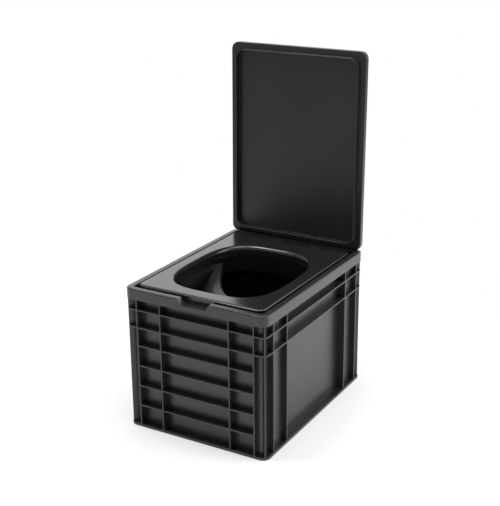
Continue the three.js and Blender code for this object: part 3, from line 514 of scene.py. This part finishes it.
def makePlate():
    p = plate
    outline = rectLoop(-p["side"], p["side"], p["front"], p["rear"], p["corner"], steps=12, sides=26)
    angles = [math.atan2(y - throat["y"], x) for x, y in outline]

    def edgeLoop(inset, z):
        return at(rectLoop(-p["side"] + inset, p["side"] - inset, p["front"] + inset, p["rear"] - inset,
                           p["corner"] - inset, steps=12, sides=26), z)

    def eggLoop(offset, z):
        return [(*throatPoint(a, offset), z) for a in angles]

    collarTop = p["top"] - p["lip"]
    collarLow = collarTop - p["collar"]
    small = p["lip"] - p["shell"]
    loops = [eggLoop(0.5, collarLow), eggLoop(0, collarLow + 0.5)]
    for k in range(p["lipSteps"] + 1):
        a = quarter * k / p["lipSteps"]
        loops.append(eggLoop(p["lip"] - p["lip"] * math.cos(a), collarTop + p["lip"] * math.sin(a)))
    for k in range(9):
        a = quarter * k / 8
        inset, drop = p["edgeReach"] * (1 - math.sin(a)), p["edgeDrop"] * (1 - math.cos(a))
        loops.append(edgeLoop(inset, p["top"] - drop))
    loops += [edgeLoop(0, p["low"] + 0.5), edgeLoop(0.5, p["low"]), edgeLoop(p["skirt"] - 0.5, p["low"]),
              edgeLoop(p["skirt"], p["low"] + 0.5), edgeLoop(p["skirt"], p["top"] - p["thick"] - 1),
              edgeLoop(p["skirt"] + 1, p["top"] - p["thick"])]
    for k in range(6):
        a = quarter * (1 - k / 5)
        loops.append(eggLoop(p["lip"] - small * math.cos(a), collarTop + small * math.sin(a)))
    loops += [eggLoop(p["shell"], collarLow + 0.5), eggLoop(p["shell"] - 0.5, collarLow)]
    body = loopBody("plate", loops, closed=True)
    parts = [bar("foot", -p["side"] + p["corner"], p["side"] - p["corner"], p["rear"] - 2, p["footReach"],
                 p["low"], p["low"] + p["footHeight"], 0.6, "x")]
    pilots = []
    for a in screwAngles:
        x, y = throatPoint(a, screwOffset)
        parts.append(rod("boss", p["bossRadius"], collarLow, p["top"] - p["thick"] + 1, x, y, ease=0.4))
        pilots.append(rod("pilot", p["pilotRadius"], collarLow - 4, p["pilotTop"], x, y, ease=0.2, count=24))
    combine(body, parts)
    combine(body, pilots, "DIFFERENCE")
    return finishShape(body, 35)


place(makePlate(), "seat_plate", "insert_plate", "insert", seatPlastic)
print("seat plate made")


bowl = {
    "top": 265.7, "step": 0.5, "shell": 2.5, "flange": 13, "chuteLow": 230, "overlap": 7.5,
    "crestY": -52, "crestSweep": 122, "crestZ": 232, "crestRise": 20, "crestTip": 9,
    "slope": 1.3, "slopeStart": 27, "slopeNarrow": 19, "slopeRound": 6,
    "floorZ": 178, "floorFall": 0.12, "floorRound": 14, "rollRadius": 5, "rollSkirt": 6, "screwHole": 2.05,
    "drainY": -130, "drainBore": 8.5, "spoutRadius": 11, "spoutLow": 161, "columns": 110, "rows": 56,
}


def crestAt(x):
    # the crest rises faster where it meets the wall
    share = (x / throat["halfX"]) ** 2
    rise = bowl["crestRise"] * share + bowl["crestTip"] * share ** 4
    return x, bowl["crestY"] + bowl["crestSweep"] * share, bowl["crestZ"] + rise


crestLine = [crestAt((2 * i / 400 - 1) * (throat["halfX"] + bowl["overlap"])) for i in range(401)]


def nearestCrest(x, y):
    best = min(crestLine, key=lambda p: (p[0] - x) ** 2 + (p[1] - y) ** 2)
    return math.hypot(best[0] - x, best[1] - y), best


def slopeDrop(distance, x):
    # the divider's shoulder narrows towards the wall
    beyond = distance - bowl["slopeStart"] + bowl["slopeNarrow"] * (x / throat["halfX"]) ** 2
    return bowl["slope"] * (math.hypot(beyond, bowl["slopeRound"]) + beyond) / 2


def basinHeight(x, y):
    distance, crest = nearestCrest(x, y)
    slope = crest[2] - slopeDrop(distance, crest[0])
    floor = bowl["floorZ"] + bowl["floorFall"] * math.hypot(x, y - bowl["drainY"])
    return (slope + floor + math.hypot(slope - floor, bowl["floorRound"])) / 2


def basinColumns():
    reach = throat["halfX"] + 5
    shares = [2 * i / bowl["columns"] - 1 for i in range(bowl["columns"] + 1)]
    return [reach * (s + math.sin(s * quarter)) / 2 for s in shares]


def basinBody(endY, topAt, lowAt, rows):
    lead = -1 if endY > bowl["crestY"] else 0
    loops = []
    for x in basinColumns():
        start = crestAt(x)[1] + lead
        ys = [start + (endY - start) * i / rows for i in range(rows + 1)]
        loops.append([(x, y, topAt(x, y)) for y in ys] + [(x, y, lowAt(x, y)) for y in reversed(ys)])
    return loopBody("basin", loops)


def dividerRoll():
    # the crest of the divider rolls over into a short skirt behind it
    radius, small = bowl["rollRadius"], bowl["rollRadius"] - bowl["shell"]
    turns = [quarter * k / 8 for k in range(9)]
    low = -radius - bowl["rollSkirt"]
    section = [(-1, -bowl["shell"] / 5)]
    section += [(radius * math.sin(a), radius * math.cos(a) - radius) for a in turns]
    section += [(radius, low + 0.6), (radius - 0.6, low), (small + 0.6, low), (small, low + 0.6)]
    section += [(small * math.sin(a), small * math.cos(a) - radius) for a in reversed(turns)]
    section += [(-1, -bowl["shell"])]
    loops = []
    for x in basinColumns():
        here, ahead = Vector(crestAt(x)), Vector(crestAt(x + 1))
        back = Vector((here.y - ahead.y, ahead.x - here.x)).normalized()
        crest = here.z - slopeDrop(0, here.x)
        loops.append([(here.x + back.x * b, here.y + back.y * b, crest + h) for b, h in section])
    return loopBody("roll", loops)


def makeBowl():
    b = bowl
    outer = b["step"] + b["shell"]
    frontEnd = throat["y"] - throat["front"] - b["overlap"]
    rearEnd = throat["y"] + throat["rear"] + b["overlap"]
    wallLow, cutLow = 100, 90   # both under the basin, which cuts the wall off

    def under(x, y):
        step = b["shell"]
        here = basinHeight(x, y)
        aside, behind = basinHeight(x + step, y), basinHeight(x, y + step)
        steep = math.hypot(1, (aside - here) / step, (behind - here) / step)
        return here - b["shell"] * min(steep, 2)

    wall = throatRing("bowl", [(b["step"], wallLow), (b["step"], b["top"] - 0.4), (b["step"] + 0.4, b["top"]),
                               (outer, b["top"]), (outer, wallLow)])
    belowBasin = basinBody(frontEnd, under, lambda x, y: cutLow, b["rows"])
    belowChute = basinBody(rearEnd, lambda x, y: b["chuteLow"], lambda x, y: cutLow, 4)
    combine(wall, [belowBasin, belowChute], "DIFFERENCE")
    basin = basinBody(frontEnd, basinHeight, under, b["rows"])
    combine(basin, [throatSlab("inside", outer - 1, wallLow, b["top"])], "INTERSECT")
    roll = combine(dividerRoll(), [throatSlab("inside", outer - 1, wallLow, b["top"])], "INTERSECT")
    reach, low = b["step"] + b["flange"], b["top"] - b["shell"]
    flange = throatRing("flange", [(outer - 1, low), (outer - 1, b["top"]), (reach - 0.6, b["top"]),
                                   (reach, b["top"] - 0.6), (reach, low)])
    spout = rod("spout", b["spoutRadius"], b["spoutLow"], b["crestZ"], 0, b["drainY"], ease=0.6)
    above = basinBody(frontEnd, lambda x, y: b["top"] + past, basinHeight, b["rows"])
    combine(spout, [above], "DIFFERENCE")
    combine(wall, [basin, roll, flange, spout])
    cuts = [rod("bore", b["drainBore"], b["spoutLow"] - past, b["crestZ"], 0, b["drainY"], ease=0.1)]
    for a in screwAngles:
        x, y = throatPoint(a, screwOffset)
        cuts.append(rod("hole", b["screwHole"], low - past, b["top"] + past, x, y, ease=0.1, count=24))
    combine(wall, cuts, "DIFFERENCE")
    return finishShape(wall, 38)


place(makeBowl(), "divided_bowl", "separator_bowl", "insert", bowlPlastic)
print("bowl made")


lid = {
    "halfX": 149, "length": 398.5, "rear": 199, "thick": 12, "corner": 15, "axis": 6.75,
    "ridgeInset": 14.8, "ridgeThick": 2.6, "ridgeHeight": 8, "ridgeCorner": 18,
    "panelLow": 4, "panelHigh": 7, "border": 15, "middle": 60, "slotHalf": 11.3, "slotDepth": 13,
    "pinBore": 2.3, "pinLength": 40, "pinPlay": 0.3, "grooveLength": 45,
    "gussetWidth": 14, "gussetTop": 5, "gussetHeight": 16, "gussetLow": 2.95,
}


def lidLoop(inset, u, outer):
    # insets are from the box outline; u runs through the thickness from the underside
    if outer:
        x, low, high, radius = lid["halfX"] - inset, inset, lid["length"] - inset, lid["corner"] - inset
    else:
        x = crate["halfX"] - inset
        low, high = inset - 1, lid["rear"] + crate["halfY"] - inset
        radius = max(lid["ridgeCorner"] + lid["ridgeInset"] - inset, 4)
    return [(a, u, v) for a, v in rectLoop(-x, x, low, high, radius, steps=10)]


def lidShape():
    # the lid's outline at the edge, the box's from the ridge inwards
    d = lid
    inner, outer = d["ridgeInset"] + d["ridgeThick"] / 2, d["ridgeInset"] - d["ridgeThick"] / 2
    middle, shift = d["middle"], crate["halfX"] - d["halfX"]
    corners = [(middle, d["panelLow"], 0), (inner, d["panelLow"], 0.4), (inner, -d["ridgeHeight"], 1),
               (outer, -d["ridgeHeight"], 1), (outer, 0, 0.8), (shift, 0, 1.2), (shift, d["thick"], 1.6),
               (d["border"], d["thick"], 1.2), (d["border"], d["panelHigh"], 1.2),
               (middle, d["panelHigh"], 0)]
    loops = []
    for inset, u in eased(corners):
        edge = inset < 6
        loops.append(lidLoop(inset - shift if edge else inset, u, edge))
    return loopBody("lid", loops)


def toOpen(obj):
    y, z = hingeAxis
    back = Matrix.Translation((0, y * mm, z * mm))
    lean = Matrix.Rotation(-lidLean, 4, "X")
    centre = Matrix.Translation((0, -lid["axis"] * mm, -lid["axis"] * mm))
    obj.data.transform(back @ lean @ centre)
    return obj


def makeLid():
    d = lid
    body = lidShape()
    axis, bore, low = d["axis"], d["pinBore"], d["ridgeInset"] - 1
    heel = bar("heel", -outside, outside, -past, axis, -past, axis, 0.1, "x")
    curve = rod("round", axis, -outside - 10, outside + 10, 0, axis, axis, "x", 0.1, 96)
    combine(heel, [curve], "DIFFERENCE")
    gussets, cuts = [], [heel]
    for x in hingeCentres:
        left, high = x - d["gussetWidth"] / 2, low + d["gussetHeight"]
        flat = eased([(left, low, 0), (left + d["gussetWidth"], low, 0), (left + d["gussetTop"], high, 0.6),
                      (left, high, 0.6)], 2)
        gussets.append(loopBody("gusset", [[(a, u, v) for a, v in flat]
                                           for u in (d["gussetLow"], d["panelLow"] + 1)]))
        cuts.append(bar("slot", x - d["slotHalf"], x + d["slotHalf"], -past, d["thick"] + past,
                        -past, d["slotDepth"], 0.4, "y"))
        side = math.copysign(1, x)
        near = x + side * d["pinLength"] / 2
        far = near + side * d["grooveLength"]
        cuts.append(bar("groove", min(near, far), max(near, far), axis - bore, axis + bore,
                        -past, axis + bore, 0.4, "x"))
        half = d["pinLength"] / 2 + d["pinPlay"]
        cuts.append(rod("bore", bore, x - half, x + half, 0, axis, axis, "x", 0.1, 32))
    combine(body, gussets)
    combine(body, cuts, "DIFFERENCE")
    return toOpen(finishShape(body, 32))


place(makeLid(), "hinged_lid", "lid", "lid", lidPlastic)
print("lid made")


hinge = {
    "width": 22, "knuckle": 5, "bore": 2.3, "pinRadius": 2, "pinHalf": 20,
    "base": 280.3, "baseFront": 4.6, "baseRear": 6.4, "baseHeight": 2.4,
    "stem": (190.55, 195.55), "stemHalf": 8, "stemLow": 266.3, "barb": 1.2, "barbTop": 276.9, "barbHeight": 3,
}


def makeBracket(x):
    h = hinge
    y, z = hingeAxis
    low, high, base = x - h["width"] / 2, x + h["width"] / 2, h["base"]
    front, rear = h["stem"]
    body = rod("bracket", h["knuckle"], low, high, 0, y, z, "x", 0.6, 48)
    parts = [
        bar("web", low, high, y - h["baseFront"], y + h["baseFront"], base, z, 0.6),
        bar("base", low, high, y - h["baseFront"], y + h["baseRear"], base, base + h["baseHeight"], 0.6),
        bar("stem", x - h["stemHalf"], x + h["stemHalf"], front, rear, h["stemLow"], base + 1, 0.5),
        bar("barb", x - h["stemHalf"], x + h["stemHalf"], front, rear + h["barb"],
            h["barbTop"] - h["barbHeight"], h["barbTop"], 0.5),
    ]
    combine(body, parts)
    combine(body, [rod("bore", h["bore"], low - past, high + past, 0, y, z, "x", 0.1, 32)], "DIFFERENCE")
    return finishShape(body, 32)


def makePin(x):
    y, z = hingeAxis
    body = rod("pin", hinge["pinRadius"], x - hinge["pinHalf"], x + hinge["pinHalf"], 0, y, z, "x", 0.5, 32)
    return finishShape(body, 40)


for side, x in zip(("left", "right"), hingeCentres):
    bracket, pin = f"hinge_bracket_{side}", f"hinge_pin_{side}"
    place(makeBracket(x), bracket + "_fine", bracket, "crate", hingePlastic)
    place(makePin(x), pin + "_fine", pin, "lid", zincSteel)
print("hinges made")


screw = {
    "base": 260.5, "head": 4, "headHeight": 2.4, "root": 1.3, "crest": 1.75, "pitch": 1.15, "length": 14.4,
    "tip": 2.4, "slotHalf": 2.3, "slotWidth": 0.45, "slotDepth": 1.5,
}
seal = {
    "low": 159.5, "height": 10, "radius": 16, "bore": 8.5, "socket": 11.3, "shelf": 1.2,
    "folds": 3, "foldDepth": 1.3, "foldStart": 0.6,
}


def stack(name, rings, x=0, y=0, z=0, count=32, shape=None):
    # rings of (radius, height) from the bottom up, closed at both ends
    loops = []
    for radius, h in rings:
        loop = []
        for k in range(count):
            a = fullTurn * k / count
            r = radius + (shape(a, radius, h) if shape else 0)
            loop.append((x + r * math.cos(a), y + r * math.sin(a), z + h))
        loops.append(loop)
    return loopBody(name, loops)


def threadShape(pitch, depth, low, high):
    # a winding ridge between two heights
    def shape(angle, radius, h):
        if not low <= h <= high:
            return 0
        turn = (h / pitch - angle / fullTurn) % 1
        fade = min(1, (h - low) / pitch, (high - h) / pitch)
        return depth * fade * max(0, 1 - abs(turn - 0.5) * 3.2)
    return shape


def makeScrew(x, y):
    w = screw
    head, root, top = w["head"], w["root"], w["headHeight"]
    low, high = top + 0.5, w["length"] - w["tip"]
    rings = [(head - 0.9, 0), (head - 0.3, 0.35), (head, 0.9), (head, top - 0.3), (head - 0.3, top),
             (root + 0.2, top), (root, top + 0.4)]
    rings += [(root, low + (high - low) * k / 96) for k in range(97)]
    rings += [(root * 0.6, w["length"] - w["tip"] * 0.4), (0.25, w["length"])]
    body = stack("screw", rings, x, y, w["base"], 24, threadShape(w["pitch"], w["crest"] - root, low, high))
    cross = []
    for halfX, halfY in ((w["slotHalf"], w["slotWidth"]), (w["slotWidth"], w["slotHalf"])):
        cross.append(bar("slot", x - halfX, x + halfX, y - halfY, y + halfY,
                         w["base"] - 1, w["base"] + w["slotDepth"], 0.1))
    return finishShape(combine(body, cross, "DIFFERENCE"), 38)


def makeSeal():
    e = seal
    radius, start, height = e["radius"], e["foldStart"], e["height"]
    corners = [(e["bore"], 0, 0.5), (radius - 1, 0, 0.6)]
    step = (height - 1) / e["folds"]
    for k in range(e["folds"]):
        corners += [(radius, start + step * k, 0.5), (radius, start + step * (k + 0.55), 0.5),
                    (radius - e["foldDepth"], start + step * (k + 0.75), 0.3)]
    corners += [(radius - 1.2, height, 0.6), (e["socket"] + 0.8, height, 0.4),
                (e["socket"], height - 0.8, 0.3), (e["socket"], e["shelf"], 0.2),
                (e["bore"], e["shelf"], 0.3)]
    return finishShape(turned("seal", eased(corners), 0, bowl["drainY"], e["low"], count=64), 40)


for i, a in enumerate(screwAngles):
    x, y = throatPoint(a, screwOffset)
    name = f"bowl_screw_{i + 1}"
    place(makeScrew(x, y), name + "_fine", name, "insert", zincSteel)
place(makeSeal(), "drain_seal_fine", "drain_seal", "insert", sealRubber)
print("screws and seal made")


bucket = {
    "side": 123, "front": -56, "rear": 172, "low": 3.3, "top": 188, "draft": 0.05, "radius": 22,
    "wall": 2.2, "bead": 2, "beadHeight": 5, "foot": 10, "middle": 60,
    "earY": 58, "earHalf": 7, "earOut": 125.2, "earZ": (174, 187),
    "restOut": 128.6, "restY": (-26, -20), "restZ": (174.7, 178.7),
}
bail = {
    "z": 181, "radius": 2, "play": 0.3, "start": 118, "side": 127.6, "front": -65.2, "turn": 24, "bend": 3.5,
}
grip = {
    "half": 45, "radius": 6.5, "bore": 2.3, "end": 8, "grooves": 9, "grooveDepth": 0.8, "grooveWidth": 2.4,
}


def bucketLoop(inset, z):
    b = bucket
    t = (b["top"] - z) * b["draft"] + inset
    side = b["side"] - t
    return at(rectLoop(-side, side, b["front"] + t, b["rear"] - t, b["radius"] - inset, steps=12), z)


def makeBucket():
    b = bucket
    w, low, top, foot = b["wall"], b["low"], b["top"], b["foot"]
    beadLow = top - b["beadHeight"]
    corners = [(b["middle"], low + w, 0), (w, low + w, 8), (w, top - 1, 0), (w * 0.4, top, 0.5),
               (-b["bead"], top, 1.4), (-b["bead"], beadLow, 0.6), (0, beadLow, 0.8), (0, low + 1, 5),
               (foot, low + 1, 0.6), (foot + 1, low, 0.4), (foot + 6, low, 0.4), (foot + 7, low + 0.8, 0.3),
               (b["middle"], low + 0.8, 0)]
    body = loopBody("bucket", [bucketLoop(inset, z) for inset, z in eased(corners, 4)])
    parts = []
    earLow, earHigh = b["earY"] - b["earHalf"], b["earY"] + b["earHalf"]
    for s in (-1, 1):
        near, ear, rest = s * (b["side"] - w / 2), s * b["earOut"], s * b["restOut"]
        parts.append(bar("ear", min(near, ear), max(near, ear), earLow, earHigh, *b["earZ"], 1))
        parts.append(bar("rest", min(near, rest), max(near, rest), *b["restY"], *b["restZ"], 0.8))
    combine(body, parts)
    radius = bail["radius"] + bail["play"]
    bore = rod("bore", radius, -outside, outside, 0, b["earY"], bail["z"], "x", 0.1, 32)
    return finishShape(combine(body, [bore], "DIFFERENCE"), 34)


def roundedPath(points, steps=10):
    # a path of (x, y, z, bend radius) points with its corners rounded
    out = [Vector(points[0][:3])]
    for before, here, after in zip(points, points[1:], points[2:]):
        corner, radius = Vector(here[:3]), here[3]
        a = (Vector(before[:3]) - corner).normalized()
        b = (Vector(after[:3]) - corner).normalized()
        half = a.angle(b) / 2
        reach = radius / math.tan(half)
        centre = corner + (a + b).normalized() * (radius / math.sin(half))
        start, end = corner + a * reach - centre, corner + b * reach - centre
        turn = start.angle(end)
        for k in range(steps + 1):
            a, b = math.sin(turn * (1 - k / steps)), math.sin(turn * k / steps)
            out.append(centre + (start * a + end * b) / math.sin(turn))
    return out + [Vector(points[-1][:3])]


def tube(name, path, radius, count=20):
    loops = []
    up = Vector((0, 0, 1))
    for i, here in enumerate(path):
        along = (path[min(i + 1, len(path) - 1)] - path[max(i - 1, 0)]).normalized()
        side = along.cross(up).normalized()
        rise = side.cross(along)
        loops.append([tuple(here + side * a + rise * b) for a, b in circle(radius, count)])
    return loopBody(name, loops)


def makeBail():
    w, y = bail, bucket["earY"]
    half = [(w["start"], y, w["z"], 0), (w["side"], y, w["z"], w["bend"]),
            (w["side"], w["front"], w["z"], w["turn"])]
    other = [(-x, y, z, r) for x, y, z, r in reversed(half)]
    return finishShape(tube("bail", roundedPath(half + other), w["radius"]), 60)


def makeGrip():
    g = grip
    radius, half, wide = g["radius"], g["half"], g["grooveWidth"] / 2
    corners = [(g["bore"], -half, 0.3), (radius, -half, 2)]
    step = 2 * (half - g["end"]) / g["grooves"]
    for k in range(g["grooves"] + 1):
        x = -half + g["end"] + step * k
        corners += [(radius, x - wide, 0.4), (radius - g["grooveDepth"], x, 0.6), (radius, x + wide, 0.4)]
    corners += [(radius, half, 2), (g["bore"], half, 0.3)]
    return finishShape(turned("grip", eased(corners), 0, bail["front"], bail["z"], "x", 48), 40)


place(makeBucket(), "solids_bucket_fine", "solids_bucket", "bucket", bucketPlastic)
place(makeBail(), "bucket_bail_fine", "bucket_bail", "bail", zincSteel)
place(makeGrip(), "bail_grip_fine", "bail_grip", "bail", capPlastic)
print("bucket made")


canister = {
    "side": 122, "front": -176, "rear": -66, "low": 3.3, "top": 144.8, "radius": 14, "wall": 2.2,
    "shoulder": 10, "foot": 5, "middle": 46, "grooves": (48, 92), "grooveHalf": 4.5, "grooveDepth": 1.6,
    "neck": 23.5, "neckCrest": 24.3, "neckBore": 21, "neckLow": 134.8, "neckTop": 153.8, "pitch": 3.2,
}
cap = {
    "low": 147.2, "height": 12, "outer": 26.8, "inner": 24.6, "bore": 12, "top": 3,
    "grips": 18, "gripDepth": 0.8, "gripLow": 0.8, "gripFade": 1.2,
}
gasket = {"outer": 24, "inner": 20.6, "low": 154.1, "height": 1.8}


def canisterHull(name, wall):
    c = canister
    low, top, edge, foot = c["low"] + wall, c["top"] - wall, c["shoulder"], c["foot"]
    corners = [(c["middle"], low + 1.2, 0), (foot + 8 + wall, low + 1.2, 1), (foot + 6 + wall, low, 1),
               (wall, low, foot)]
    for z in c["grooves"]:
        half, deep = c["grooveHalf"], wall + c["grooveDepth"]
        corners += [(wall, z - half, 1.2), (deep, z - half + 2, 1),
                    (deep, z + half - 2, 1), (wall, z + half, 1.2)]
    corners += [(wall, top - edge + wall, 5), (wall + edge / 2, top, 4), (c["middle"], top, 0)]
    loops = []
    for inset, z in eased(corners, 4):
        side, radius = c["side"] - inset, max(c["radius"] - inset, 4)
        loops.append(at(rectLoop(-side, side, c["front"] + inset, c["rear"] - inset, radius), z))
    return loopBody(name, loops)


def makeCanister():
    c = canister
    body = canisterHull("canister", 0)
    neck, base = c["neck"], c["neckLow"]
    low, high = c["top"] + 1 - base, c["neckTop"] - 0.6 - base
    rings = [(neck - 1, 0), (neck, 0.1)] + [(neck, low + (high - low) * k / 60) for k in range(61)]
    rings += [(neck - 0.5, c["neckTop"] - base)]
    thread = threadShape(c["pitch"], c["neckCrest"] - neck, low, high)
    combine(body, [stack("neck", rings, 0, bowl["drainY"], base, 72, thread)])
    bore = rod("bore", c["neckBore"], base - 4, c["neckTop"] + past, 0, bowl["drainY"], ease=0.1, count=72)
    combine(body, [canisterHull("hollow", c["wall"]), bore], "DIFFERENCE")
    return finishShape(body, 34)


def gripShape(angle, radius, h):
    if radius < cap["inner"] + 0.5 or h < cap["gripLow"]:
        return 0
    fade = min(1, (h - cap["gripLow"]) / cap["gripFade"])
    return -cap["gripDepth"] * fade * max(0, math.cos(cap["grips"] * angle)) ** 1.5


def makeCap():
    c = cap
    outer, inner, top = c["outer"], c["inner"], c["height"]
    roof = top - c["top"]
    corners = [(inner, 0, 0.4), (outer, 0, 0.5), (outer, 0.9, 0), (outer, 2.2, 0), (outer, top, 1.2),
               (c["bore"], top, 0.5), (c["bore"], roof, 0.5), (inner, roof, 0.6)]
    body = turned("cap", eased(corners), 0, bowl["drainY"], c["low"], count=216, ripple=gripShape)
    return finishShape(body, 40)


def makeGasket():
    g = gasket
    corners = [(g["inner"], 0, 0.5), (g["outer"], 0, 0.5), (g["outer"], g["height"], 0.5),
               (g["inner"], g["height"], 0.5)]
    return finishShape(turned("gasket", eased(corners), 0, bowl["drainY"], g["low"], count=72), 50)


place(makeCanister(), "urine_canister_fine", "urine_canister", "canister",
      canisterPlastic)
place(makeCap(), "canister_cap_fine", "canister_cap", "cap", capPlastic)
place(makeGasket(), "cap_seal_fine", "cap_seal", "cap", sealRubber)
print("canister made")


view = {
    "azimuth": 28.87, "elevation": 18.80, "distance": 2552.49, "target": (-201.41, 480.35, 160),
    "focal": 1050.03, "centre": (278, 240), "image": (500, 506),   # pixels
}
surroundings = {
    "world": 0.46, "floor": (0.98, 0.98, 0.98), "floorHalf": 4000, "floorGap": 0.4,
    "whiteShare": (0.35, 1), "whiteFrom": (0.25, 0.75),   # at these distances from the middle, in metres
}
lamps = {   # place, target and size in metres, power in watts
    "top": ((0.5, 0, 2.6), (0.1, 0, 0.3), (1.3, 1.3), 20),
    "high": ((-0.7, -0.3, 2.4), (0, 0, 0.3), (0.8, 0.8), 28),
    "right": ((1.8, 1.2, 1.4), (0.3, 0.2, 0.1), (2.2, 2.2), 42),
    "back": ((-1.7, 3, 1.7), (0, 0, 0.3), (3, 1.6), 19),
}


def makeCamera():
    a, e = math.radians(view["azimuth"]), math.radians(view["elevation"])
    back = Vector((math.sin(a) * math.cos(e), -math.cos(a) * math.cos(e), math.sin(e)))
    data = bpy.data.cameras.new("camera")
    camera = bpy.data.objects.new("camera", data)
    scene.collection.objects.link(camera)
    camera.location = (Vector(view["target"]) + back * view["distance"]) * mm
    camera.rotation_euler = back.to_track_quat("Z", "Y").to_euler()
    width, height = view["image"]
    data.sensor_fit = "HORIZONTAL"
    data.sensor_width = 36
    data.lens = view["focal"] * 36 / width
    data.shift_x = (width / 2 - view["centre"][0]) / width
    data.shift_y = (view["centre"][1] - height / 2) / width
    data.clip_end = 50
    scene.camera = camera


def softLamp(name, where, target, size, power):
    data = bpy.data.lights.new(name, "AREA")
    data.shape = "RECTANGLE"
    data.size, data.size_y = size
    data.energy = power
    lamp = bpy.data.objects.new(name, data)
    lamp.location = where
    lamp.rotation_euler = (Vector(where) - Vector(target)).to_track_quat("Z", "Y").to_euler()
    scene.collection.objects.link(lamp)


def whiteToCamera(tree, shader, share=None):
    # the camera sees plain white, what lights the object is the shader's own
    seen = addNode(tree, "LightPath", {}).outputs["Is Camera Ray"]
    if share:
        part = tree.nodes.new("ShaderNodeMath")
        part.operation = "MULTIPLY"
        tree.links.new(seen, part.inputs[0])
        tree.links.new(share, part.inputs[1])
        seen = part.outputs[0]
    white = addNode(tree, "Background" if shader.type == "BACKGROUND" else "Emission",
                    {"Color": (1, 1, 1, 1), "Strength": 1})
    mix = addNode(tree, "MixShader", {"Fac": seen})
    tree.links.new(shader.outputs[0], mix.inputs[1])
    tree.links.new(white.outputs[0], mix.inputs[2])
    return mix.outputs[0]


def makeWorld():
    world = bpy.data.worlds.new("studio")
    scene.world = world
    world.use_nodes = True
    tree = world.node_tree
    plain = tree.nodes["Background"]
    setInputs(tree, plain, {"Color": (1, 1, 1, 1), "Strength": surroundings["world"]})
    setInputs(tree, tree.nodes["World Output"], {"Surface": whiteToCamera(tree, plain)})


def makeFloor():
    f = surroundings
    half, z = f["floorHalf"] * mm, -f["floorGap"] * mm
    mesh = bpy.data.meshes.new("floor")
    corners = [(-half, -half, z), (half, -half, z), (half, half, z), (-half, half, z)]
    mesh.from_pydata(corners, [], [(0, 1, 2, 3)])
    floor = bpy.data.objects.new("floor", mesh)
    scene.collection.objects.link(floor)
    material, tree, shader = newMaterial("pale_floor")
    setInputs(tree, shader, {"Base Color": (*f["floor"], 1), "Roughness": 0.9})
    # the floor shows its own shadow near the object and turns plain white further out
    far = tree.nodes.new("ShaderNodeVectorMath")
    far.operation = "LENGTH"
    setInputs(tree, far, {0: addNode(tree, "TexCoord", {}).outputs["Object"]})
    share = spread(tree, far.outputs["Value"], *f["whiteShare"], *f["whiteFrom"])
    setInputs(tree, tree.nodes["Material Output"], {"Surface": whiteToCamera(tree, shader, share)})
    mesh.materials.append(material)


makeCamera()
makeWorld()
makeFloor()
for name, lamp in lamps.items():
    softLamp(name, *lamp)
scene.view_settings.view_transform = "Standard"
print("camera and light made")
